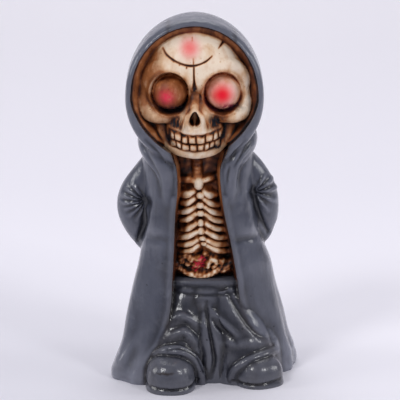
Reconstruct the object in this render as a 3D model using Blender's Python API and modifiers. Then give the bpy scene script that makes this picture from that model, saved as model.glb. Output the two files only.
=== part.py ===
"""A painted resin figurine, 120 mm tall: a skeleton in a hooded coat, trousers and shoes.

It is one casting, so it is one object. Its forms are modelled one by one, cut and joined, and then
fused by a voxel remesh, which leaves the small fillets that a mould leaves where two forms meet.

X runs to the viewer's right, -Y towards the viewer, and the flat underside lies on Z = 0. The figure
is a free form, so every place and size below is a share of its height, written in millimetres of the
120 mm figure. A relief is a height towards the viewer, so a relief of 9 lies at Y = -9. Where lists
come in pairs, the viewer's left is first.
"""

import math

import bmesh
import bpy
import numpy as np
from mathutils import Matrix, Vector

FIGURE_HEIGHT = 0.120
MM = FIGURE_HEIGHT / 120

# Fusing and faceting
FUSE_VOXEL = 0.42
TRIANGLES = 9700

# Hood: its outline is a superellipse that runs back from the rim and then rounds off
HOOD_X = -3.2
HOOD_Z = 94.0
HOOD_HALF_WIDTH = 22.1
HOOD_RISE = 26.0
HOOD_DROP = 23.0
HOOD_RIM_Y = -13.6
HOOD_BACK_Y = 17.5
HOOD_SIDE_POWER = 1.05
HOOD_PEAK_POWER = 0.91
CROWN_START = 0.30
CROWN_POWER = 2.5
RIM_LEAN = 3.4
RIM_DIP = 0.04
RIM_INSET = 0.03
RIM_ROUNDING = 2.6

# Face opening in the hood: half width, height above and below the hood's centre, and how deep it is cut
OPENING_HALF_WIDTH = 20.3
OPENING_RISE = 23.2
OPENING_DROP = 20.0
OPENING_FLOOR_Y = -3.0
OPENING_SIDE_POWER = 1.95
OPENING_PEAK_POWER = 2.25
OPENING_FOOT_POWER = 1.6
LINING_FLOOR = 4.4
LINING_RISE = 6.0
LINING_FOOT_Z = 75.0

# Front opening of the coat: height, left edge, right edge
LAPELS = (
    (84.0, -11.6, 9.6), (78.0, -11.0, 7.4), (74.0, -9.9, 5.9), (70.0, -8.8, 4.9), (63.0, -8.7, 5.4),
    (56.0, -9.4, 6.4), (45.0, -9.8, 8.7), (35.0, -10.3, 10.4), (27.0, -10.7, 11.8), (21.0, -11.7, 14.4),
    (16.5, -12.8, 17.6), (12.0, -15.4, 22.2), (8.0, -18.1, 24.2), (4.0, -19.4, 25.0), (-4.0, -19.6, 25.4),
)
CHEST_FLOOR_Y = -2.0
CUT_FROM_Y = -40.0

# The two reliefs run this far under the cloth, and back to this depth
PANEL_OVERLAP = 1.0
PANEL_BACK_Y = 3.0
FACE_ROWS = 110
CHEST_ROWS = 130
CHEST_FOOT_Z = 27.0
CHEST_TOP_Z = 77.5

# Coat below the hood: height, centre x, half width, front depth, back depth, sweep.
# The sweep turns the lower sections, because the left flap swings forward and the right one back.
COAT = (
    (84.0, -3.0, 13.0, 8.0, 13.5, 0.0),
    (79.0, -2.5, 16.4, 10.6, 15.5, 0.0),
    (73.0, -2.2, 17.8, 12.4, 16.0, 0.0),
    (66.0, -2.0, 17.8, 13.0, 15.5, 0.0),
    (56.0, -1.5, 18.0, 13.2, 15.0, 0.0),
    (46.0, -0.9, 19.4, 13.0, 15.0, 0.02),
    (38.0, 0.1, 21.6, 13.2, 15.5, 0.05),
    (30.0, 0.0, 23.5, 13.4, 16.0, 0.09),
    (20.0, 0.3, 26.0, 13.8, 16.8, 0.14),
    (12.0, 0.4, 27.5, 14.2, 17.4, 0.18),
    (6.0, 0.4, 29.6, 14.8, 18.0, 0.21),
    (2.0, 0.2, 31.0, 15.2, 18.4, 0.22),
    (-2.0, 0.2, 30.2, 15.0, 18.2, 0.22),
)
COAT_SIDE_POWER = 0.92
COAT_FRONT_POWER = 0.86
# Soft folds in the skirt: bearing from the front in degrees, width in degrees, rise, top, bottom
COAT_FOLDS = (
    (-44.0, 7.0, 0.9, 30.0, 6.0),
    (-62.0, 11.0, -1.1, 36.0, 8.0),
    (60.0, 9.0, 1.1, 34.0, 4.0),
    (80.0, 9.0, -0.9, 36.0, 8.0),
    (122.0, 13.0, 1.4, 44.0, -4.0),
    (147.0, 11.0, -1.3, 46.0, -4.0),
    (173.0, 13.0, 1.5, 50.0, -4.0),
    (-161.0, 11.0, -1.3, 46.0, -4.0),
    (-136.0, 13.0, 1.4, 44.0, -4.0),
    (-112.0, 11.0, -1.1, 40.0, -4.0),
)

# Each front panel is full above the dent that the pocketed hands pull into it: bearing, width, rise
PANEL_SWELLS = ((-46.0, 15.0, 0.9), (50.0, 16.0, 1.1))
PANEL_TOP_Z = 66.0
PANEL_FULL_Z = 51.0
DENT_Z = 46.5
DENT_HEIGHT = 3.0

# Round bars are listed as x, y, z and radius along their middle line.
# Sleeves, from the shoulder by the elbow to the pocket
LEFT_SLEEVE = (
    (-13.6, 1.0, 72.0, 5.8),
    (-18.4, 1.5, 66.5, 6.2),
    (-22.0, 2.5, 59.8, 6.0),
    (-23.0, 3.5, 54.5, 5.7),
    (-21.6, 4.0, 48.5, 4.9),
    (-20.4, 4.4, 43.5, 3.5),
    (-19.0, 5.2, 40.5, 2.4),
)
RIGHT_SLEEVE = (
    (10.4, 1.0, 72.0, 5.8),
    (15.4, 1.5, 66.5, 6.2),
    (17.8, 2.2, 60.5, 6.0),
    (18.6, 3.2, 55.0, 5.8),
    (18.6, 4.0, 50.0, 5.2),
    (18.8, 4.6, 46.5, 4.0),
    (18.2, 5.2, 43.6, 2.8),
)
# Crook of each elbow, then bearing in degrees, rise and length of each gather that fans out from it
CROOKS = (
    ((-19.2, 58.6), ((127, 0.55, 7.0), (150, 0.65, 8.0), (171, 0.7, 8.5), (190, 0.7, 8.5), (208, 0.6, 8.5),
                     (228, 0.55, 9.0), (250, 0.5, 9.0))),
    ((16.2, 61.6), ((57, 0.6, 7.0), (30, 0.7, 8.0), (2, 0.75, 8.5), (-29, 0.65, 9.0), (-58, 0.55, 9.5))),
)
GATHER_WIDTH = 6.5
CROOK_DEPTH = 1.1
CROOK_RADIUS = 1.5
GATHER_BACK_Y = 6.0

# Rolls that the hood leaves round the neck, from behind to the lapels
COWL = (
    ((-1.0, 12.4, 79.4, 2.6), (-11.6, 10.4, 79.4, 3.6), (-16.8, 4.0, 79.0, 4.2), (-17.5, -3.0, 77.4, 4.0),
     (-15.3, -8.4, 74.6, 3.9), (-12.8, -10.0, 70.4, 3.3), (-11.8, -10.2, 64.0, 2.3),
     (-11.4, -9.9, 56.0, 1.2)),
    ((-5.0, 12.4, 79.4, 2.6), (7.2, 10.4, 79.7, 3.6), (12.4, 4.0, 79.6, 4.2), (12.9, -3.0, 78.2, 4.0),
     (10.8, -8.4, 75.6, 3.8), (8.7, -10.2, 71.4, 3.1), (8.0, -10.4, 65.0, 2.2), (8.2, -9.9, 57.0, 1.2)),
)
# Bead along each edge of the front opening, most of it sunk in the cloth
BEAD_RADIUS = 1.05
BEAD_INSET = 0.9
BEAD_SINK = 0.5
BEAD_SPAN = (-1.0, 62.0)

# Creases in the cloth as x, z, depth and half width along each; a negative depth is a ridge
CREASES = (
    # Fine creases of the cowl
    ((9.4, 72.4, 0.1, 0.5), (12.0, 76.0, 0.8, 0.7), (15.0, 79.8, 0.1, 0.6)),
    ((7.6, 73.6, 0.1, 0.5), (10.2, 77.4, 0.8, 0.7), (13.2, 81.2, 0.2, 0.6)),
    ((8.2, 73.0, 0.1, 0.5), (7.4, 69.8, 0.6, 0.6), (7.2, 65.4, 0.1, 0.6)),
    ((-18.8, 81.0, 0.2, 0.6), (-15.5, 77.6, 0.7, 0.8), (-12.9, 74.4, 0.1, 0.6)),
    ((-19.6, 77.6, 0.3, 0.8), (-17.0, 73.0, 0.8, 1.0), (-14.6, 68.0, 0.5, 0.9), (-14.0, 62.0, 0.1, 0.9)),
    ((15.4, 76.6, 0.3, 0.8), (12.6, 73.4, 0.7, 0.9), (11.4, 68.6, 0.4, 0.9), (11.6, 63.0, 0.1, 0.9)),
    # Where a sleeve leaves the coat's side
    ((-18.2, 60.0, 0.2, 0.6), (-18.9, 54.0, 1.1, 0.7), (-20.5, 48.4, 1.3, 0.8), (-22.2, 43.4, 0.9, 0.8)),
    ((15.8, 63.6, 0.2, 0.6), (16.9, 57.0, 1.1, 0.7), (19.0, 51.0, 1.2, 0.8), (21.0, 46.6, 0.9, 0.8)),
    # The dent that the pocketed hands pull into each front panel
    ((-19.0, 46.6, 0.2, 1.4), (-15.4, 47.6, 0.5, 1.5), (-11.6, 47.8, 0.1, 1.3)),
    ((9.6, 47.4, 0.2, 1.4), (13.8, 47.4, 0.6, 1.5), (18.6, 47.0, 0.2, 1.4)),
    # Hem corners that kick out
    ((-19.6, 19.0, -0.1, 1.6), (-23.6, 12.0, -0.7, 1.8), (-27.6, 5.6, -0.9, 1.8)),
    ((22.2, 24.0, -0.1, 1.6), (25.8, 14.0, -0.7, 1.8), (28.6, 6.4, -0.9, 1.8)),
    # Trousers: knee folds, the seam between the legs and the folds that run down from it
    ((-10.6, 21.8, -0.1, 0.9), (-6.6, 22.6, -0.9, 1.1), (-1.6, 19.4, -0.2, 0.9)),
    ((-10.4, 19.0, 0.2, 0.8), (-6.0, 20.2, 0.8, 0.9), (-2.0, 16.6, 0.2, 0.8)),
    ((-11.4, 16.6, -0.2, 0.9), (-6.6, 18.0, -0.9, 1.1), (-2.6, 14.2, -0.2, 0.9)),
    ((-11.6, 14.4, 0.2, 0.8), (-7.0, 15.4, 0.6, 0.9), (-3.4, 12.4, 0.2, 0.8)),
    ((0.6, 26.4, 0.2, 0.7), (0.8, 22.0, 1.0, 0.8), (2.2, 15.0, 1.3, 0.9), (3.2, 8.0, 1.2, 0.9),
     (2.0, 2.5, 0.2, 0.9)),
    ((1.6, 25.0, -0.2, 0.9), (6.0, 20.6, -0.9, 1.1), (11.4, 16.2, -0.2, 1.0)),
    ((1.6, 22.4, 0.2, 0.8), (5.6, 18.2, 0.8, 0.9), (10.4, 14.2, 0.2, 0.8)),
    ((6.6, 31.0, 0.1, 0.8), (11.0, 24.0, 0.8, 0.9), (16.4, 17.0, 0.7, 0.9), (22.6, 12.4, 0.2, 0.9)),
    ((5.0, 13.6, -0.1, 1.0), (9.4, 13.8, -0.7, 1.2), (15.6, 14.0, -0.6, 1.2), (20.4, 12.6, -0.1, 1.0)),
    ((-9.6, 29.6, 0.2, 0.6), (0.2, 29.0, 0.45, 0.6), (10.4, 29.4, 0.2, 0.6)),
    # Soles and the hem's second fold
    ((-19.0, 2.4, 0.3, 0.35), (-10.6, 1.9, 0.4, 0.35), (-2.0, 2.4, 0.3, 0.35)),
    ((9.0, 1.8, 0.3, 0.35), (16.8, 1.6, 0.4, 0.35), (24.6, 2.6, 0.3, 0.35)),
    ((-12.0, 12.8, 0.2, 0.5), (-7.4, 13.6, 0.6, 0.5), (-2.6, 10.6, 0.5, 0.5), (-0.2, 4.6, 0.3, 0.5)),
)

# Skull masses: centre as x, y, z, then half sizes
CRANIUM = ((-4.0, -3.4, 99.5), (16.9, 12.3, 16.6))
JAW = ((-3.2, -6.4, 84.6), (9.8, 10.6, 9.8))
RAMUS = ((-3.3, -3.6, 86.6), (13.0, 8.0, 11.6))
SKULL_BLEND = 1.6
# Dents at the root of the nose and in the temples: centre x and z, half width, half height, depth
SKULL_DENTS = ((-3.2, 95.2, 3.6, 2.4, 4.2), (-16.2, 106.0, 2.6, 3.4, 0.9), (10.4, 106.6, 2.4, 3.0, 0.7))
# Bars of the skull as x, z, relief of the middle line and radius: brows, cheekbones, nose and chin
BROWS = (
    ((-5.0, 97.6, 13.6, 1.6), (-5.3, 100.2, 13.7, 1.9), (-7.6, 103.4, 12.0, 2.2), (-11.8, 104.7, 10.3, 2.4),
     (-15.8, 103.5, 8.6, 2.3), (-18.6, 100.4, 7.2, 1.9), (-19.3, 96.4, 6.4, 1.7)),
    ((-1.5, 97.6, 13.6, 1.6), (-1.0, 100.4, 13.7, 1.9), (2.4, 103.8, 12.0, 2.2), (6.8, 105.0, 10.3, 2.4),
     (10.5, 103.6, 9.0, 2.2), (12.8, 100.6, 8.2, 1.8), (13.0, 97.4, 7.8, 1.4), (13.1, 94.6, 7.6, 1.5)),
)
CHEEKS = (
    ((-5.0, 93.0, 12.4, 0.9), (-6.5, 89.9, 12.8, 1.1), (-9.4, 88.0, 12.4, 1.4), (-13.4, 87.9, 10.9, 2.1),
     (-17.4, 89.2, 8.6, 2.8), (-19.3, 92.4, 7.0, 2.4), (-19.5, 96.4, 6.2, 1.8)),
    ((-0.6, 93.0, 12.4, 0.9), (0.9, 90.0, 12.8, 1.1), (3.8, 88.2, 12.4, 1.4), (7.6, 88.1, 11.1, 2.1),
     (11.4, 89.4, 9.4, 2.7), (13.0, 92.4, 8.4, 2.1), (13.1, 95.4, 7.6, 1.4)),
)
NASAL_BONES = ((-3.2, 97.0, 9.6, 1.7), (-3.2, 93.6, 12.6, 1.4), (-3.2, 91.0, 15.0, 1.3))
NOSE_RIMS = (
    ((-3.2, 91.2, 15.2, 1.0), (-5.0, 89.0, 15.4, 1.1), (-5.5, 86.6, 15.4, 1.3), (-6.0, 84.6, 14.8, 1.4)),
    ((-3.2, 91.2, 15.2, 1.0), (-1.4, 89.0, 15.4, 1.1), (-0.9, 86.6, 15.4, 1.3), (-0.4, 84.6, 14.8, 1.4)),
)
CHIN = ((-8.8, 79.6, 7.6, 2.0), (-6.2, 77.6, 10.0, 2.2), (-2.8, 76.9, 11.2, 2.2), (0.8, 77.4, 10.0, 2.2),
        (3.4, 79.4, 7.6, 2.0))
# Sockets as centre x and z, half width and half height, then the balls in them
SOCKETS = ((-11.2, 95.9, 6.6, 7.1), (5.8, 96.1, 6.4, 7.0))
EYES = ((-11.1, -8.8, 95.8), (5.6, -8.8, 96.1))
EYE_RADIUS = 5.2
SOCKET_FLOOR = 4.0
SOCKET_WALL = 8.5
NOSE_HOLE = (-3.15, 88.1, 2.2, 2.4)
NOSE_FLOOR = 10.6
NOSE_WALL = 4.4
# Centre x and z, half width, half height and depth
CHEEK_HOLLOWS = ((-8.5, 86.6, 2.2, 2.2, 4.2), (2.7, 86.8, 2.4, 2.2, 4.2), (-12.8, 84.6, 1.6, 3.4, 1.6),
                 (7.0, 84.8, 1.5, 3.2, 1.6))
# Teeth: where one meets the next along the smile, and how tall each row is
UPPER_EDGES = (-11.1, -9.5, -7.45, -5.15, -2.6, 0.3, 2.6, 4.5, 5.9)
LOWER_EDGES = (-10.8, -9.1, -7.2, -4.75, -2.45, -0.1, 1.5, 3.2, 5.0)
MOUTH_X = -3.0
MOUTH_HALF_WIDTH = 8.6
BITE_Z = 80.5
SMILE = 0.037
UPPER_HEIGHT = 2.8
LOWER_HEIGHT = 2.8
TOOTH_RISE = 1.8
MOUTH_DEPTH = 1.2
MOUTH_REACH = 3.1
# The crack across the forehead and the one that runs down to the nose: x, z, depth, half width
CRACKS = (
    ((-13.2, 110.2, 0.3, 0.5), (-9.8, 106.4, 0.7, 0.5), (-5.2, 104.7, 0.7, 0.5), (-1.0, 105.3, 0.7, 0.5),
     (2.7, 108.3, 0.3, 0.5)),
    ((-3.5, 104.9, 0.6, 0.5), (-3.4, 100.2, 1.0, 0.5), (-3.2, 98.0, 1.8, 0.6)),
)

# Ribcage: floor, breastbone beads, ribs, throat, collarbones and pelvis
CHEST_FLOOR = 4.2
CHEST_SWELL = 1.4
CHEST_MIDDLE_X = -1.2
CHEST_HALF_WIDTH = 9.0
RIBS = 8
TOP_RIB_Z = 62.6
RIB_PITCH = 2.81
RIB_DROP = 2.3
TOP_RIB_DROP = 1.2
RIB_RADIUS = 0.95
RIB_START = 1.7
RIB_SAG = 0.45
RIB_INNER_RELIEF = 7.7
RIB_OUTER_RELIEF = 5.9
LEFT_RIB_ENDS = (-8.5, -8.0)
RIGHT_RIB_ENDS = (3.5, 7.3)
STRIP_RISE = 6.2
STRIP_WIDTH = 2.1
STRIP_TOP_Z = 71.0
STRIP_TOP_DROP = 1.6
# Centre x and z, half width and half height of each bead
BREASTBONE = ((-1.9, 65.1, 1.65, 2.15), (-1.75, 61.3, 1.3, 1.15), (-1.5, 58.2, 1.35, 1.3),
              (-1.35, 55.2, 1.25, 1.2), (-1.2, 52.3, 1.3, 1.3), (-0.95, 49.4, 1.3, 1.2),
              (-0.75, 47.2, 0.9, 0.8), (-0.4, 45.0, 0.8, 0.9))
BEAD_RELIEF = 7.2
BEAD_DEPTH = 1.9
THROAT = ((-3.0, 84.0, 4.6, 1.9), (-2.6, 75.0, 5.2, 1.75), (-2.2, 67.0, 6.2, 1.6))
COLLARBONES = (
    ((-3.4, 66.2, 7.2, 0.9), (-5.6, 66.4, 6.9, 1.2), (-7.6, 66.2, 6.0, 1.3)),
    ((-0.8, 66.2, 7.2, 0.8), (1.6, 66.8, 7.2, 0.85), (4.0, 67.8, 6.2, 0.8)),
)
PELVIS = (
    ((-8.8, 38.0, 6.2, 1.2), (-7.4, 36.4, 7.0, 1.1), (-4.2, 35.2, 7.6, 1.0), (-0.8, 34.8, 7.8, 0.95),
     (2.6, 35.3, 7.6, 1.0), (5.2, 36.8, 7.0, 1.0), (7.2, 38.2, 6.0, 1.2)),
    ((1.2, 37.2, 7.6, 0.6), (1.5, 38.9, 7.9, 0.7), (3.0, 39.7, 7.9, 0.7), (4.0, 38.5, 7.7, 0.6),
     (2.8, 37.1, 7.6, 0.6)),
    ((-7.9, 40.4, 6.4, 0.6), (-5.6, 40.9, 7.0, 0.8), (-4.4, 39.6, 7.4, 0.8)),
)
KNOBS = (((-7.5, -6.0, 39.2), (1.2, 2.0, 1.2)), ((-5.5, -6.2, 38.0), (1.0, 1.9, 1.0)),
         ((5.7, -6.0, 38.9), (1.35, 2.3, 1.4)), ((-1.9, -5.6, 39.7), (1.9, 2.6, 1.5)),
         ((-2.6, -5.8, 37.6), (1.7, 2.1, 1.2)), ((0.4, -5.8, 41.4), (1.5, 2.0, 1.0)))

# Trousers
HIPS = ((0.4, -0.6, 25.0), (15.0, 11.4, 10.4))
WAISTBAND = ((0.2, -1.2, 32.4), (12.8, 9.0, 2.9))
WAISTBAND_POWER = 0.55
# Solid resin between the legs and the back of the coat
FILLING = ((2.2, -2.0, 4.0), (22.0, 10.0, 15.0))
LEGS = (
    ((-4.6, -3.0, 28.0, 7.6), (-6.2, -5.4, 22.0, 8.0), (-7.9, -8.4, 15.5, 8.4), (-8.3, -10.4, 9.0, 8.6),
     (-8.2, -10.6, -4.0, 8.6)),
    ((5.4, -3.0, 28.0, 7.8), (8.2, -4.8, 21.0, 8.6), (11.2, -5.8, 14.0, 9.6), (12.4, -6.2, 7.0, 10.8),
     (12.0, -6.6, -4.0, 11.4)),
    ((1.6, -4.0, 26.0, 6.5), (1.8, -8.3, 16.0, 6.8), (2.4, -8.6, 8.0, 7.0), (2.6, -8.2, -4.0, 7.2)),
    ((-9.4, -2.0, 24.0, 5.2), (-12.4, -4.8, 12.0, 7.2), (-14.2, -7.6, -4.0, 8.0)),
    ((12.0, -2.0, 20.0, 6.4), (16.2, -2.6, 10.0, 8.4), (17.4, -3.0, -4.0, 8.8)),
)
# Hems, turned up over the shoes
HEMS = (
    ((-18.4, -11.4, 6.0, 1.3), (-13.8, -17.0, 11.2, 1.8), (-8.5, -18.8, 12.4, 2.0), (-4.2, -17.9, 9.8, 1.9),
     (-1.6, -16.4, 4.6, 1.7), (-0.8, -15.2, -2.0, 1.5)),
    ((8.2, -15.0, -1.0, 1.4), (9.8, -16.4, 4.6, 1.7), (14.0, -17.0, 8.0, 1.8), (19.4, -14.0, 9.4, 1.7),
     (23.6, -8.2, 9.2, 1.4)),
)
# Shoes: centre, half sizes and turn about the vertical in degrees, with a wider sole below each
SHOES = (
    ((-10.9, -16.8, 3.0), (8.0, 10.2, 8.2), -4.0), ((-10.9, -16.8, 0.6), (8.2, 10.5, 3.0), -4.0),
    ((16.8, -11.8, 2.6), (8.0, 9.4, 7.0), 28.0), ((16.8, -11.8, 0.4), (8.2, 9.7, 2.6), 28.0),
)
BLOCKY = 0.8

# Block below the ground: its sizes in X, Y and Z
GROUND_BLOCK = (100.0, 100.0, 20.0)

COAT_GREY = (0.105, 0.115, 0.142, 1.0)


def clear_scene():
    """Removes what the file opened with."""
    for old in list(bpy.data.objects):
        bpy.data.objects.remove(old)


def collection_named(name, hidden=False):
    made = bpy.data.collections.new(name)
    bpy.context.scene.collection.children.link(made)
    made.hide_render = hidden
    return made


def object_from(bm, name, collection):
    """A mesh object from points in millimetres of the 120 mm figure."""
    bmesh.ops.scale(bm, vec=Vector((MM, MM, MM)), verts=bm.verts)
    mesh = bpy.data.meshes.new(name)
    bm.to_mesh(mesh)
    bm.free()
    made = bpy.data.objects.new(name, mesh)
    collection.objects.link(made)
    return made


def evaluated_mesh(obj):
    """The object's mesh with its modifiers applied, in world space."""
    graph = bpy.context.evaluated_depsgraph_get()
    mesh = bpy.data.meshes.new_from_object(obj.evaluated_get(graph))
    mesh.transform(obj.matrix_world)
    return mesh


def point_array(vertices, attribute):
    """Points or normals of a mesh as rows of x, y and z."""
    flat = np.empty(len(vertices) * 3)
    vertices.foreach_get(attribute, flat)
    return flat.reshape(-1, 3)


def ellipsoid(name, centre, half_sizes, collection, turn=0.0, power=1.0):
    """A sphere stretched to three half sizes and turned about the vertical; a power below 1 squares it."""
    bm = bmesh.new()
    bmesh.ops.create_uvsphere(bm, u_segments=40, v_segments=24, radius=1.0)
    for vert in bm.verts:
        vert.co = Vector([math.copysign(abs(side) ** power, side) for side in vert.co])
    stretch = Matrix.Diagonal((*half_sizes, 1.0))
    spin = Matrix.Rotation(math.radians(turn), 4, "Z")
    bmesh.ops.transform(bm, matrix=spin @ stretch, verts=bm.verts)
    bmesh.ops.translate(bm, vec=Vector(centre), verts=bm.verts)
    return object_from(bm, name, collection)


def through(rows, per_span=6):
    """More rows on a smooth curve through the given ones, a Catmull-Rom spline in every column."""
    rows = np.array(rows, float)
    padded = np.vstack([2 * rows[0] - rows[1], rows, 2 * rows[-1] - rows[-2]])
    made = []
    for i in range(len(rows) - 1):
        a, b, c, d = padded[i : i + 4]
        for t in np.arange(per_span) / per_span:
            curved = (2 * a - 5 * b + 4 * c - d) * t**2 + (3 * b - a - 3 * c + d) * t**3
            made.append(0.5 * (2 * b + (c - a) * t + curved))
    return np.array([*made, rows[-1]])


def at_height(rows, height):
    """The other columns of rows that are listed from the top down, read at each height."""
    curve = through(rows, per_span=8)[::-1]
    return [np.interp(height, curve[:, 0], column) for column in curve[:, 1:].T]


def loft(name, rings, collection):
    """A closed solid through rings of points, each ring with as many points as the next."""
    bm = bmesh.new()
    layers = [[bm.verts.new(p) for p in ring] for ring in rings]
    for lower, upper in zip(layers, layers[1:]):
        for i, corner in enumerate(lower):
            after = (i + 1) % len(lower)
            bm.faces.new((corner, lower[after], upper[after], upper[i]))
    bm.faces.new(layers[0][::-1])
    bm.faces.new(layers[-1])
    bmesh.ops.recalc_face_normals(bm, faces=bm.faces)
    return object_from(bm, name, collection)


def prism(name, outline, front_y, back_y, collection):
    """An outline of x and z, carried from front to back."""
    return loft(name, [[Vector((x, y, z)) for x, z in outline] for y in (front_y, back_y)], collection)


def limb(name, rows, collection):
    """A round limb along a smooth line through x, y, z and radius."""
    data = bpy.data.curves.new(name, "CURVE")
    data.dimensions = "3D"
    data.bevel_depth = MM
    data.bevel_resolution = 5
    data.use_fill_caps = True
    stations = through(rows)
    spline = data.splines.new("POLY")
    spline.points.add(len(stations) - 1)
    for point, (x, y, z, radius) in zip(spline.points, stations):
        point.co = (x * MM, y * MM, z * MM, 1.0)
        point.radius = radius
    curve = bpy.data.objects.new(name, data)
    collection.objects.link(curve)
    return curve


def joined(name, objects, collection):
    """One mesh of several, whose own objects are removed. The shapes stay separate until they are fused."""
    bm = bmesh.new()
    for obj in objects:
        mesh = evaluated_mesh(obj)
        bm.from_mesh(mesh)
        bpy.data.meshes.remove(mesh)
    bmesh.ops.remove_doubles(bm, verts=bm.verts, dist=0.001 * MM)
    bmesh.ops.scale(bm, vec=Vector((1, 1, 1)) / MM, verts=bm.verts)
    for obj in objects:
        bpy.data.objects.remove(obj)
    return object_from(bm, name, collection)


def fuse(obj, soften):
    """Makes overlapping shapes one skin, and smooths the voxel steps away in a few passes."""
    remesh = obj.modifiers.new("Fuse", "REMESH")
    remesh.mode = "VOXEL"
    remesh.voxel_size = FUSE_VOXEL * MM
    remesh.use_smooth_shade = True
    smooth = obj.modifiers.new("Soften", "SMOOTH")
    smooth.factor = 0.5
    smooth.iterations = soften


def cut(obj, cutters):
    for cutter in cutters:
        boolean = obj.modifiers.new("Cut " + cutter.name, "BOOLEAN")
        boolean.operation = "DIFFERENCE"
        boolean.solver = "EXACT"
        boolean.object = cutter
        cutter.hide_render = True
        cutter.display_type = "WIRE"


def smooth_max(a, b, blend):
    """The higher of two reliefs, with a fillet where they cross."""
    share = np.clip(0.5 + 0.5 * (a - b) / blend, 0, 1)
    return b + (a - b) * share + blend * share * (1 - share)


def smooth_min(a, b, blend):
    """The lower of two reliefs, with a rounded edge where they cross."""
    return -smooth_max(-a, -b, blend)


def dome(x, z, centre, half_sizes):
    """Relief of an ellipsoid's front, which falls away steeply outside its outline."""
    inside = 1 - ((x - centre[0]) / half_sizes[0]) ** 2 - ((z - centre[2]) / half_sizes[2]) ** 2
    return -centre[1] + half_sizes[1] * np.sign(inside) * np.sqrt(np.abs(inside))


def path_distance(x, z, rows):
    """Distance to a smooth path through x, z and more columns, and those columns at the nearest point."""
    stations = through(rows, per_span=4)
    nearest = np.full(np.shape(x), 1e9)
    found = np.zeros((*np.shape(x), stations.shape[1] - 2))
    for start, end in zip(stations, stations[1:]):
        step_x, step_z = end[:2] - start[:2]
        t = np.clip(((x - start[0]) * step_x + (z - start[1]) * step_z) / (step_x**2 + step_z**2), 0, 1)
        away = np.hypot(x - start[0] - t * step_x, z - start[1] - t * step_z)
        closer = away < nearest
        nearest = np.where(closer, away, nearest)
        found = np.where(closer[..., None], start[2:] + t[..., None] * (end[2:] - start[2:]), found)
    return nearest, found


def bar(x, z, rows):
    """Relief of a round bar along a smooth line through x, z, relief and radius."""
    away, found = path_distance(x, z, rows)
    rise, radius = found[..., 0], found[..., 1]
    inside = 1 - (away / radius) ** 2
    return rise + radius * np.sign(inside) * np.sqrt(np.abs(inside))


def hill(x, z, centre_x, centre_z, wide, tall):
    """A smooth bump of height 1 with a bell profile."""
    return np.exp(-(((x - centre_x) / wide) ** 2) - ((z - centre_z) / tall) ** 2)


def groove(x, z, rows):
    """A scratch along a path of x, z, depth and half width, with a bell profile."""
    away, found = path_distance(x, z, rows)
    return found[..., 0] * np.exp(-((away / found[..., 1]) ** 2))


def opening_radius(x, z):
    """1 on the inner edge of the hood and less inside it."""
    across = np.abs(x - HOOD_X) / OPENING_HALF_WIDTH
    above, below = np.abs(z - HOOD_Z) / OPENING_RISE, np.abs(z - HOOD_Z) / OPENING_DROP
    power = (OPENING_SIDE_POWER + OPENING_PEAK_POWER) / 2
    upper = (across**OPENING_SIDE_POWER + above**OPENING_PEAK_POWER) ** (1 / power)
    lower = (across**OPENING_FOOT_POWER + below**OPENING_FOOT_POWER) ** (1 / OPENING_FOOT_POWER)
    return np.where(z > HOOD_Z, upper, lower)


def opening_outline(count):
    """The hood's inner edge as x and z: a superellipse with a soft peak, and more pointed below."""
    turn = np.linspace(0, 2 * np.pi, count, endpoint=False)
    across, up = np.cos(turn), np.sin(turn)
    wide = np.abs(across) ** np.where(up > 0, 2 / OPENING_SIDE_POWER, 2 / OPENING_FOOT_POWER)
    above = OPENING_RISE * np.abs(up) ** (2 / OPENING_PEAK_POWER)
    below = OPENING_DROP * np.abs(up) ** (2 / OPENING_FOOT_POWER)
    x = HOOD_X + OPENING_HALF_WIDTH * np.sign(across) * wide
    return np.column_stack([x, HOOD_Z + np.where(up > 0, above, -below)])


def tooth_row(x, up, edges, height):
    """From 0 in the gaps to 1 on the crowns: up is the distance from the bite line into the row."""
    place = np.interp(x, edges, np.arange(len(edges)))
    across = 1 - np.abs(2 * (place % 1) - 1) ** 3
    inside = (x > edges[0]) & (x < edges[-1])
    return across * np.clip(1 - np.abs(2 * up / height - 1) ** 4, 0, 1) * inside


def mouth_relief(x, z):
    """The trough of the mouth and the teeth in it, as a height above the jaw."""
    up = z - BITE_Z - SMILE * (x - MOUTH_X) ** 2
    upper = tooth_row(x, up, UPPER_EDGES, UPPER_HEIGHT)
    lower = tooth_row(x, -up, LOWER_EDGES, LOWER_HEIGHT)
    ends = np.clip(MOUTH_HALF_WIDTH - np.abs(x - MOUTH_X), 0, 1)
    trough = np.clip(1.3 - np.abs(up / MOUTH_REACH) ** 3, 0, 1) * ends
    return TOOTH_RISE * np.maximum(upper, lower) - MOUTH_DEPTH * trough


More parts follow.
